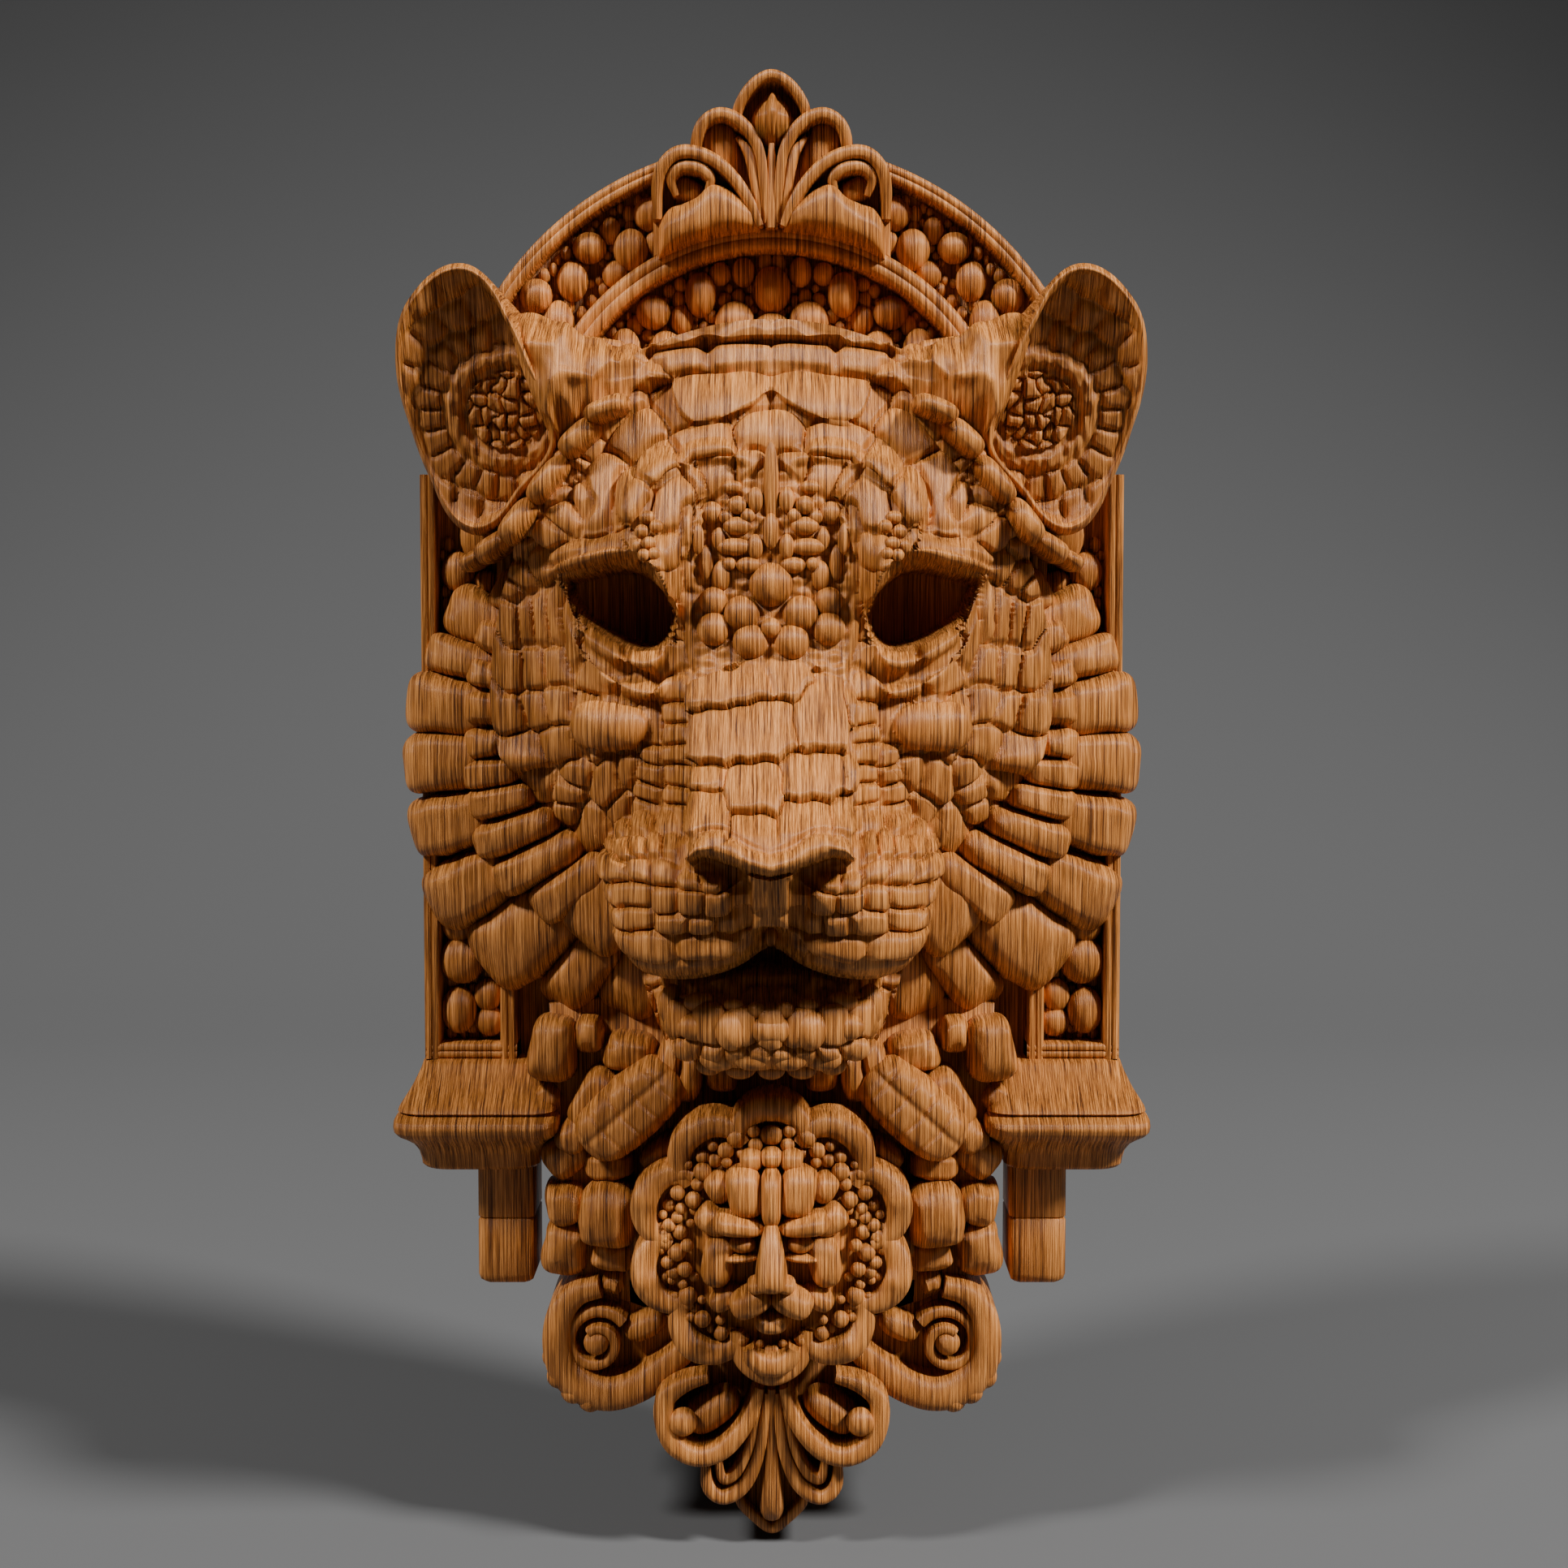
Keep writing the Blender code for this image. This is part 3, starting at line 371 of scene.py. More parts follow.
class Paint:
    # builds a material: node() takes a node's type, its settings and what goes into its sockets
    def __init__(self, name):
        self.material = bpy.data.materials.new(name)
        self.material.use_nodes = True
        self.tree = self.material.node_tree
        self.shader = self.tree.nodes["Principled BSDF"]

    def put(self, target, value):
        # a link from another node, or a plain value
        if isinstance(value, Socket):
            self.tree.links.new(value.link, target)
        else:
            target.default_value = value

    def node(self, kind, settings=None, values=(), output=0):
        made = self.tree.nodes.new(kind)
        for key, value in (settings or {}).items():
            if key == "stops":
                elements = made.color_ramp.elements
                while len(elements) < len(value):
                    elements.new(0.5)
                for element, (position, colour) in zip(elements, value):
                    element.position = position
                    element.color = (*colour, 1)
            else:
                setattr(made, key, value)
        pairs = values.items() if isinstance(values, dict) else enumerate(values)
        for key, value in pairs:
            self.put(made.inputs[key], value)
        return Socket(self, made.outputs[output])

    def shade(self, values):
        # what goes into the shader's own sockets
        for key, value in values.items():
            self.put(self.shader.inputs[key], value)


woodLook = {
    # place on the ramp and colour, from the pores to the pale wood between them
    "stops": ((0.39, (0.085, 0.024, 0.005)), (0.445, (0.27, 0.085, 0.014)), (0.51, (0.475, 0.17, 0.034)),
              (0.60, (0.83, 0.335, 0.088))),
    "stretch": (1, 0.03, 0.012),   # how fast the grain changes across it, into the wood and along it
    "fine": {"Scale": 2300.0, "Detail": 3.0, "Roughness": 0.75, "Distortion": 0.1},
    "broad": {"Scale": 690.0, "Detail": 2.0, "Roughness": 0.5},
    "patch": {"Scale": 26.0, "Detail": 2.0},
    "gloss": 0.35,
    "grooveDepth": 0.0008,
}


def stripedWood():
    # streaks of two widths along Z with slow patches over them; pale streaks are also smoother,
    # and the dark pores lie a little lower
    paint, look = Paint("striped_wood"), woodLook
    place = paint.node("ShaderNodeTexCoord", output="Object")
    grain = paint.node("ShaderNodeVectorMath", {"operation": "MULTIPLY"}, (place, look["stretch"]))
    fine, broad, patch = (paint.node("ShaderNodeTexNoise", {}, {"Vector": vector, **look[name]})
                          for name, vector in (("fine", grain), ("broad", grain), ("patch", place)))
    tone = fine * 0.74 + broad * 0.26 + (patch - 0.5) * 0.08
    colour = paint.node("ShaderNodeValToRGB", {"stops": look["stops"]}, (tone,))
    bump = paint.node("ShaderNodeBump", {}, {"Strength": 1.0, "Distance": look["grooveDepth"],
                                             "Height": fine * 0.8 + broad * 0.2})
    paint.shade({"Base Color": colour, "Roughness": 0.56 - tone * 0.3, "Specular IOR Level": look["gloss"],
                 "Normal": bump})
    return paint.material


wood = stripedWood()
print("wood mixed")


# the head: three carved faces that meet edge to edge, and beads laid on them
face = {
    "skull": [   # height, reach, half width
        (196, 50, 52), (188, 60, 60), (176, 73, 70), (160, 87, 81), (140, 98, 91), (118, 104, 100),
        (98, 105, 106), (75, 101, 111), (50, 97, 113), (25, 95, 110), (0, 92, 98), (-20, 89, 82),
        (-45, 83, 64), (-62, 76, 54), (-80, 68, 46), (-99, 56, 36)],
    "bridge": [   # height, rise over the skull
        (120, 0), (95, 3), (80, 6), (62, 13), (48, 23), (30, 36), (10, 53), (-4, 67), (-10, 73), (-16, 62),
        (-24, 44), (-34, 26), (-46, 8), (-60, 0)],
    "muzzle": [
        (58, 34), (40, 38), (20, 46), (0, 66), (-14, 71), (-25, 70), (-40, 66), (-52, 60), (-62, 54),
        (-75, 50), (-90, 44), (-105, 36)],
    "noseTop": [(0, -7), (7.6, -4.7), (15, -0.7), (24, -0.8), (28, -2.5), (31, -7), (33, -10)],
    "noseBottom": [(0, -15.5), (7.6, -13.7), (15, -10.8), (24, -7.8), (30, -9.5), (33, -12)],
    "socketTop": [(38, 79), (41, 88), (45, 93), (50, 97), (56, 99), (70, 97), (80, 94.5), (87, 92)],
    "socketBottom": [
        (38, 78), (40.6, 71.4), (44, 67.3), (47.5, 65.7), (55.4, 66.5), (66.6, 72), (74, 78), (78, 84),
        (81, 90), (84, 94), (88, 97)],
    "lip": [   # the muzzle pad's lower edge
        (0, -48.5), (4, -49.5), (9, -52.5), (16, -56), (26, -59.3), (36, -60.6), (44, -60), (50, -57.4),
        (55, -52), (60, -43), (64.5, -29), (68, -18), (70, -8), (71, 10)],
    "plate": [(0, 167), (8, 161), (16, 156.5), (25, 154), (32, 155), (36, 160), (39, 168), (43, 180)],
    "edgeReach": (46, 27),   # of the face's outer edge, and how much further out it is by the ears
    "seam": 50,   # where brow and cheeks meet
    "tuck": 5,   # how far both lie under the muzzle
    "lift": 0.12,   # and how far the muzzle stands out over them
    "cells": {"brow": 284, "cheeks": 228, "muzzle": 300, "across": 262},
}


def headReach(x, z):
    # reach of the face: skull, brows, sockets and lids, bridge, muzzle pads, nose, lips and chin
    a = np.abs(x)
    top = lineOf(face["skull"], z)
    width = lineOf(face["skull"], z, 2)
    side = np.clip(a / width, 0, 1)
    edge = face["edgeReach"][0] + face["edgeReach"][1] * window(z, 84, 122, 192, 168)
    reach = edge + (top - edge) * (1 - side ** 2.3) ** 0.75
    # brow ridge, round brow above it, inner column, cheekbone and the bag under the eye
    upper = lineOf(face["socketTop"], a)
    lower = lineOf(face["socketBottom"], a)
    ledge = 12 * ridge(z - upper - 5, 4) + 8 * ridge(z - upper - 12, 11)
    reach += ledge * window(a, 32, 46, 98, 70)
    reach += 10 * dome(a, z, 42, 121, 17.5, 24) ** 0.7 + 11 * swell(a, z, 39, 98, 8, 18)
    away = np.hypot(a - 20, z - 105) - 37.5
    reach += 4.5 * ridge(away, 3.6, 4) * ramp(106, 118, z) * ramp(6, 14, a)
    reach += 9 * swell(a, z, 74, 32, 26, 28) + 7 * dome(a, z, 64, 37, 17, 11.5)
    reach -= 4 * swell(a, z, 0, 92, 24, 24)
    # bridge of the nose: a flat plateau with steep edges, then a slope to the cheek
    bridge = lineOf(face["bridge"], z)
    edge = 30.5 + 2.5 * ramp(0, 60, z)
    slope = ridge(np.clip(a - 28, 0, None), 25)
    reach += bridge * (0.55 * slope + 0.45 * ramp(edge + 7, edge - 2.5, a))
    reach -= 0.0055 * np.minimum(a, 31) ** 2
    # muzzle pads, overhanging the mouth
    lip = lineOf(face["lip"], a)
    pads = np.clip(1 - (np.abs(a - 31) / 38.5) ** 2.5 - (np.abs(z + 29.5) / 37.5) ** 2.5, 0, None)
    padReach = 74 + 73 * pads ** 0.42 - 0.12 * np.clip(a - 20, 0, None)
    padReach += 3 * ridge(z - lip - 12, 4.5) * ramp(2, 14, a) + 14 * swell(a, z, 16, -21, 20, 13)
    padReach -= 10 * ramp(11, -2, z - lip) ** 1.5
    above = ramp(0, 1.5, z - lip) * ramp(71, 69, a)
    reach = np.where(z > lip + 0.5, smoothMax(reach, padReach, 5), reach)
    fallen = 128 - 0.6 * a - 0.7 * np.clip(lip - z, 0, 14)
    reach += (np.minimum(reach, fallen) - reach) * (1 - above) * ramp(8, -16, z)
    # nose: a rolled lip over the dark nostrils, and the narrow septum
    high = lineOf(face["noseTop"], a)
    low = lineOf(face["noseBottom"], a)
    roll = np.clip((z - low) / (high - low), 0, 1)
    onNose = ramp(33, 30.5, a)
    reach = np.where((z > high) & (a < 40), np.minimum(reach, 165), reach)
    rolled = 162 - 0.1 * a + 7.2 * sin(roll * math.pi) ** 0.6
    reach += (rolled - reach) * onNose * window(z, high + 0.8, high - 0.8, low - 1.2, low + 0.8)
    end = low - 2 - 4 * ramp(29, 13, a)
    under = onNose * window(z, low - 0.3, low - 2, end - 5, end + 1)
    reach += (np.minimum(reach, 152 - 0.1 * a) - reach) * under
    reach -= 4 * dome(a, z, 19, -14, 9, 5)
    septum = 149 + 0.60 * (z + 39) - 0.8 * ridge(a, 1.4)
    inSeptum = ramp(12, 7, a) * window(z, -43, -36, low + 0.5, low - 1)
    reach += np.clip(septum - reach, 0, None) * inSeptum
    reach -= 2.5 * ridge(a, 1.8) * window(z, -38, -41, -50, -47)
    # sockets, and the lids rolled round them
    depth = np.clip(np.minimum(1.8 * (z - lower), 2.5 * (upper - z)), 0, 9)
    depth *= window(a, 37, 41, 87, 84)
    reach -= 50 * ramp(0, 7, depth) * (0.5 + 0.5 * ramp(80, 52, a))
    lids = window(a, 38, 46, 84, 76)
    reach += 6.5 * ridge(z - lower + 4.5, 3.6) * lids
    reach += 5.5 * ridge(z - lower + 14.5 - 0.1 * (a - 60), 3.8) * lids
    # chin, its top lost in the shadow of the lip
    chin = np.clip(1 - (a / 45.5) ** 2.8 - (np.abs(z + 76) / 24.5) ** 2.8, 0, None)
    chinReach = 60 + 68 * chin ** 0.42 - 7 * ramp(-70, -60, z)
    reach = np.where(z < lip, smoothMax(reach, chinReach, 3), reach)
    # two lens plates above the forehead, meeting in a point, and the hood's slit over them
    plate = lineOf(face["plate"], a)
    reach += 4.5 * ramp(plate - 0.8, plate + 1.2, z) * ramp(43, 39, a) * ramp(185, 172, z)
    slit = 187 - 0.0018 * a * a
    reach += 2.5 * ramp(slit, slit + 1.5, z) * ramp(52, 46, a)
    reach -= 4 * ridge(z - slit, 1.3) * ramp(54, 44, a)
    return np.maximum(reach, 40)


# rows of stones on one half of the face: start, end, bulge to the left of the run, how many, half
# thickness, and growth from each stone to the next where there is any
stoneRows = (
    (0, 181, 50, 177, 2, 2, 5), (3, 171, 41, 165, -3, 1, 9.5), (-12, 153, 12, 153, 0, 1, 8),
    (14, 148, 51, 126, 9, 2, 6.5), (44, 158, 70, 117, 5, 2, 7, 1.1), (52, 170, 86, 120, 7, 5, 6),
    (50, 184, 62, 172, 0, 1, 6), (2, 138, 14, 136, 0, 1, 6), (15, 136, 30, 130, 1, 1, 6.5),
    (31, 119, 62, 127, 3, 2, 10, 1.1), (39, 112, 39, 87, 0, 1, 6.5), (31, 124, 31, 70, 0, 3, 2.2),
    (58, 105, 86, 101, 0, 1, 4.5), (66, 128, 94, 109, 3, 3, 7, 0.9), (76, 140, 104, 102, 5, 5, 5.5),
    (90, 100, 108, 88, 2, 3, 6), (80, 84, 77, 60, 2, 1, 3.5), (83, 79, 107, 75, 0, 4, 9),
    (42, 62, 73, 73, -3, 2, 4, 1.3), (33, 53, 77, 58, -5, 3, 4.2, 1.2), (49, 38, 79, 39, -2, 1, 10),
    (82, 61, 108, 57, 0, 3, 8), (81, 45, 109, 39, 0, 3, 7.5), (80, 32, 106, 22, 0, 2, 7.5, 1.1),
    (68, 26, 72, 24, 0, 1, 4), (76, 20, 84, -4, 2, 3, 5.5), (92, 14, 90, -6, 2, 2, 5.5),
    (62, 22, 77, -16, -2, 2, 6.5, 1.2), (54, 26, 64, -4, 0, 2, 4.8, 1.2), (46, 30, 53, 0, 0, 4, 4.4),
    (38, 46, 38, 0, 0, 6, 4.2), (35, -6, 61, -10, 1.5, 4, 4.4, 1.1), (36, -14, 70, -18, 1, 3, 4, 1.3),
    (18, -19, 34, -19, 0, 2, 3.6, 1.1), (14, -27, 45, -26, 1, 3, 5.4, 0.9), (46, -23, 70, -26, -1, 1, 4.4),
    (12, -35, 44, -34.5, 0, 3, 3.6, 1.3), (45, -32, 69, -35, -1, 1, 4), (14, -42, 66, -42, -3, 2, 4.4, 1.4),
    (5, -44, 13, -49, 0, 1, 3), (13, -51, 62, -50, -3, 1, 3.6), (0, -58, 50, -64, -1, 1, 5),
    (-7.5, -76.5, 44, -74, -1, 4, 8.5), (0, -90, 36, -86, -1, 4, 5), (0, -62, 42, -64, 0, 3, 3),
    (78, -22, 66, -52, 0, 3, 6), (62, -58, 50, -92, 0, 4, 5),
)


def layStones(rows):
    # every row is cut into stones along a bowed line: middle, turn, half length, half thickness
    stones = []
    for x0, z0, x1, z1, bulge, count, thick, *growth in rows:
        share = (growth or [1])[0] ** np.arange(count)
        edge = np.concatenate([[0], np.cumsum(share / share.sum())])
        t = (edge[1:] + edge[:-1]) / 2
        length = math.hypot(x1 - x0, z1 - z0)
        away = ((z0 - z1) / length, (x1 - x0) / length)
        bow, lean = bulge * 4 * t * (1 - t), bulge * 4 * (1 - 2 * t)
        x, z = x0 + (x1 - x0) * t + away[0] * bow, z0 + (z1 - z0) * t + away[1] * bow
        turn = np.arctan2(z1 - z0 + away[1] * lean, x1 - x0 + away[0] * lean)
        stones += list(zip(x, z, turn, np.diff(edge) * length / 2, np.full(count, thick)))
    return np.array(stones)


def stoneRelief(x, z, stones, seed, crown=0.27, crack=2, square=3.6, lean=0):
    # each point belongs to the stone it is nearest to in that stone's own stretched measure; the
    # relief is a crown falling to the stone's edge, a crack where two stones meet, a chance height
    # and a lean that brings its lower edge forward
    best, second = np.full(x.shape, 9.0), np.full(x.shape, 9.0)
    number, thick = np.zeros(x.shape), np.ones(x.shape)
    for k, (cx, cz, turn, long, wide) in enumerate(stones):
        u = ((x - cx) * cos(turn) + (z - cz) * sin(turn)) / long
        v = ((z - cz) * cos(turn) - (x - cx) * sin(turn)) / wide
        d = (np.abs(u) ** square + np.abs(v) ** square) ** (1 / square)
        closer = d < best
        second = np.where(closer, best, np.minimum(second, d))
        best = np.where(closer, d, best)
        number, thick = np.where(closer, k, number), np.where(closer, min(wide, long), thick)
    rise = np.minimum(crown * thick, 2.6) * (1 - np.clip(best, 0, 1.3) ** 2.6)
    groove = crack * (ramp(0, 1.5, (second - best) * thick * 0.6) - 1)
    tilt = lean * np.clip((stones[number.astype(int), 1] - z) / thick, -1.2, 1.2)
    return rise + groove + tilt + 2 * (chance(number, seed, 1) - 0.5)


faceStones = layStones(stoneRows)
bridgeStones = layStones((   # across the bridge, from its left side to its right
    (-32, 50, -3, 57, 0, 1, 7), (0, 65, 14, 51, 0, 1, 6.5), (20, 56, 21, 29, 0, 1, 10),
    (32, 60, 31, 14, 0, 2, 3), (-28, 35, 8, 37, 0, 1, 10), (-31, 20.5, -17, 20.5, 0, 1, 5.2),
    (-17, 17, 4.5, 17, 0, 1, 8.6), (5, 21, 27, 22, 0, 1, 8.4), (-31, 7.5, -15.5, 7.5, 0, 1, 7.4),
    (-15.5, 1, 3, 1, 0, 1, 7), (3, 4.5, 23.5, 5, 0, 1, 7.8), (23.5, 7, 33, 7, 0, 1, 7),
    (-26, 66, -12, 66, 0, 1, 5), (18, 66, 32, 66, 0, 1, 5)))


def faceRelief(x, z):
    # stones over the whole face, larger ones on the bridge, a smooth nose and lips, bare sockets
    a = np.abs(x)
    relief = stoneRelief(a + 0.8 * waver(x, z, 37, 2), z + 0.8 * waver(x, z, 31, 6), faceStones, 3)
    large = stoneRelief(x + 0.7 * waver(x, z, 23, 8), z + 0.9 * waver(x, z, 19, 9), bridgeStones, 5,
                        0.06, 1.1, 4.5, 1.5)
    large -= 1.5 * ridge(a - 32, 0.9)
    onBridge = ramp(33.5, 32.5, a) * ramp(68.5, 67.5, z + 0.42 * a)
    onBridge *= ramp(-9, -6, z - 0.2 * a)
    relief += (large - relief) * onBridge
    under = ramp(33, 30, a) * ramp(0, -3, z) * ramp(-21, -16, z - 0.1 * a)
    relief *= 1 - 0.9 * np.maximum(under, ramp(9, 6, a) * window(z, 0, -3, -34, -27))
    high = lineOf(face["noseTop"], a)
    relief -= 1.5 * ridge(z - high - 0.8, 0.9) * ramp(30, 26, a)
    lip = lineOf(face["lip"], a)
    relief *= 1 - 0.9 * ramp(5, 2.5, np.abs(z - lip - 1)) * ramp(66, 56, a)
    field = ramp(1, -1, a - 30 * ramp(146, 112, z)) * ramp(67, 69, z + 0.42 * a)
    relief += (-1.5 + 0.8 * waver(x, z, 9, 4) - relief) * field
    upper = lineOf(face["socketTop"], a)
    relief -= 2.2 * ridge(z - upper - 7.5, 1.2) * window(a, 52, 58, 92, 86)
    lower = lineOf(face["socketBottom"], a)
    hollow = ramp(-0.5, 1.5, np.minimum(z - lower, upper - z)) * window(a, 37, 40, 88, 84)
    return relief * (1 - hollow)


def carvedSheet(x, z):
    # the modelled face, with its stones carved along its normals
    return carve(surface(x, z, headReach(x, z)), faceRelief(x, z))


faceBeads = (   # beads between the brows and on them: place, radii across and up, how proud
    (0, 91.5, 8.6, 8.6, 2), (11.2, 80.5, 7, 7, 2), (22, 85, 5.5, 6, 1), (22, 74.5, 6.6, 6.6, 2),
    (8, 69.5, 6.8, 7, 1), (0, 75, 4, 4, 2), (0, 112, 3.2, 7, 1), (0, 130, 3, 17, 1), (8.5, 99, 5, 3.2, 1),
    (19, 95, 3.6, 6, 0), (14, 106, 7, 3.4, 1), (6, 106, 3, 5, 1), (13, 114, 5.5, 3.6, 1),
    (20, 109, 2.6, 4.5, 1), (23, 119, 4.6, 4.6, 1), (13, 122, 3.6, 3.6, 2), (9, 118, 2.8, 2.8, 1),
    (17, 117.5, 3, 3, 1), (6, 124, 3, 5, 1), (15, 129, 4, 2.6, 1), (25, 100, 2.8, 7, 0),
    (16, 99.5, 2.6, 2.6, 1), (28, 109, 2.4, 6, 0), (47, 117, 3.2, 2.6, 2), (43.5, 113.5, 2.6, 2.6, 2),
    (49, 111.5, 2.8, 2.8, 2), (46, 107, 3, 2.6, 2), (50.5, 106, 2.4, 2.8, 1), (44, 103, 2.4, 2.4, 2),
    (48, 102.5, 2.4, 2.4, 1), (0, -77, 8.2, 6, 0), (14.8, -77.5, 6.6, 8, 0), (28, -77.5, 8, 5.4, -0.5),
    (38.5, -71.5, 5.4, 8.4, -1), (27, -68, 6.4, 4, -0.5), (5.5, -69.5, 3.6, 3.2, 0),
    (14, -68, 4, 2.6, -0.5), (0, -42.5, 2.6, 4, 1), (7, -89, 7.2, 4.8, 0), (20, -90, 7.4, 4.6, 0),
    (32.5, -87, 5.6, 5.2, 0), (0, -97, 5.4, 3.6, 0), (12, -97.5, 5.8, 3.6, 0), (24, -95.5, 5.4, 3.8, 0),
)


def carveFace():
    # rows of points down the face, spread evenly over its width at each height: the upper edge
    # bends down at the sides, and the lower edge up
    skull, muzzle, seam, cells = face["skull"], face["muzzle"], face["seam"], face["cells"]
    top, low, upper = skull[0][0], skull[-1][0], muzzle[0][0]
    t = np.linspace(-1, 1, cells["across"])
    for name, start, end in (("brow", top, seam), ("cheeks", seam + 0.2, low)):
        z = np.linspace(start, end, cells[name])[:, None]
        x = t * lineOf(skull, z, 2)
        s = (top - z) / (top - low)
        z = (z - 12 * t ** 2 * (1 - s) ** 2 * ramp(seam, seam + 60, z)
             + 14 * t ** 2 * s ** 4 * ramp(seam, seam - 40, z))
        under = ramp(0.3, 3, np.minimum(lineOf(muzzle, z) - np.abs(x), upper - z))
        clay = Clay()
        clay.sheet(carvedSheet(x, z) - under[..., None] * (0, 0, face["tuck"]), 2)
        clay.build(name)
    z = np.linspace(upper, muzzle[-1][0], cells["muzzle"])[:, None] + 0 * t
    clay = Clay()
    clay.sheet(carvedSheet(t * lineOf(muzzle, z), z) + (0, 0, face["lift"]), 30)
    clay.build("muzzle")
    x, z, across, up, proud = np.array(faceBeads).T
    depth = np.minimum(across, up)
    places = np.stack([x, z, headReach(x, z) - depth * 0.45 + proud], 1)
    radii = np.stack([across, up, depth], 1)
    clay = Clay()
    for picked, both in ((x == 0, False), (x != 0, True)):
        clay.balls(places[picked], radii[picked], (14, 22), both)
    clay.build("brow_beads")


carveFace()


# ears
ear = {
    "centre": (-119, 165),
    "outline": (30.6, 28.5, 35, 50, 43.5, 33, 27.5, 27.5, 35, 52, 41, 39),   # every 30 degrees
    "opening": (75, 9, 14),   # its reach in the middle, and the more towards the head and up
    "depth": 24,
    # the cup from its bottom over its rim to the back: share of the outline, reach over the
    # opening, share of the depth, shift to the head
    "cup": (
        (0, 0, 1, 9), (0.3, 0, 1, 9), (0.6, 0, 1, 8), (0.82, 0, 0.8, 4), (0.93, -0.5, 0.15, 0),
        (0.965, 0, 0, 0), (1, -2, 0, 0), (1.02, -8, 0, 0), (0.96, -26, 0, 5), (0.84, -46, 0, 14),
        (0.7, -74, 0, 20)),
    # the seeds in the cup lie round this place, and a ring lies round them
    "eye": (-106, 161), "eyeRadius": 15, "ringRadius": 25,
    # towards the head: distance from the middle, height, half height, reach, half depth
    "trumpet": (
        (96, 172, 20, 80, 24), (91.5, 173, 26, 88, 28), (80, 172.5, 22, 90, 29), (71, 172, 18, 87, 27),
        (61, 172, 14, 82, 25), (50, 174, 10.5, 76, 22), (38, 174, 7, 71, 18)),
    # lumps along the ear's lower edge: place, direction, half length, half width, reach
    "lumps": (
        (-64, 160, 22, 9.5, 4.6, 100), (-75, 149, 42, 9.5, 5.6, 95), (-87.5, 133, 50, 11.5, 5.4, 90),
        (-100, 117, 52, 10.5, 5.8, 84), (-111, 107.5, 32, 9, 4.8, 74), (-120.5, 102.5, 30, 6.5, 3.6, 62)),
}


def carveEars():
    # the cup is the profile in "cup" swept round the outline, with seeds, a ring and rows of
    # stones in it; the trumpet is a row of ellipses from the cup's edge to the head
    clay = Clay()
    angle = circle(168)
    outline = smoothCurve(np.degrees(angle), np.arange(-60, 421, 30),
                          ear["outline"][-2:] + ear["outline"] + ear["outline"][:3])
    fine = [np.linspace(0.02, 4, 76), np.linspace(4.06, 7, 24), np.linspace(7.1, 10, 22)]
    fine = np.concatenate(fine)[:, None]
    share, rise, hollow, shift = through(ear["cup"], fine)
    (cx, cz), (middle, inward, upward) = ear["centre"], ear["opening"]
    x, z = polar((cx + shift, cz - shift * 0.4), outline * share, angle)
    depth = ear["depth"] * (0.5 + 0.45 * share * cos(angle - 0.35))
    opening = middle + (inward * cos(angle) + upward * sin(angle)) * share
    dx, dz = x - ear["eye"][0], z - ear["eye"][1]
    radius = np.hypot(dx, dz)
    bands = scales(np.arctan2(dz, dx) * 22 / (2 * math.pi), radius / 11.5 - 0.1, 11, 1.3, 1.6, 1.3)
    ring = 2.6 * ridge(radius - 20.5, 2.8, 4) - 1.3 + 0.8 * waver(x, z, 9, 3)
    seeds = scales(x / 5.4 + 0.3 * waver(x, z, 14, 5), z / 6.2, 12, 1.4, 3.2, 1.4, 0.55, 2)
    inner = np.where(radius < ear["eyeRadius"], seeds, np.where(radius < ear["ringRadius"], ring, bands))
    cup = surface(x, z, np.maximum(opening + rise - hollow * depth, 6))
    clay.rings(carve(cup, inner * window(fine, 0, 0.2, 4.1, 3.5)), True)

    t, turn = np.linspace(0, 1, 78)[:, None], circle(114)
    out, middle, tall, top, deep = through(ear["trumpet"], t * (len(ear["trumpet"]) - 1))
    up = tall * sin(turn)
    lean = 0.37 * up * ramp(0.45, 0, t)   # the first ring follows the ear's edge
    relief = scales(turn * 6 / (2 * math.pi), out / 17 + 0.3 * sin(turn), 13, 1.2, 0.4, 0.9, 0.3, 2.4)
    relief += 1.4 * waver(out, middle + up, 21, 14)
    grid = surface(-out - lean, middle + up, top - deep + deep * cos(turn))
    clay.rings(carve(grid, relief * ramp(0, 0.25, t)), True)
    # the wood that joins the ear to the board
    slab(clay, [(-64, 142), (-100, 150), (-108, 176), (-88, 194), (-60, 190)], 3, 52, 2, True)
    for x, z, direction, length, width, out in ear["lumps"]:
        petal(clay, (x, z), out, direction, length, width, 24, 0, 0.65)
    clay.build("ears")


carveEars()


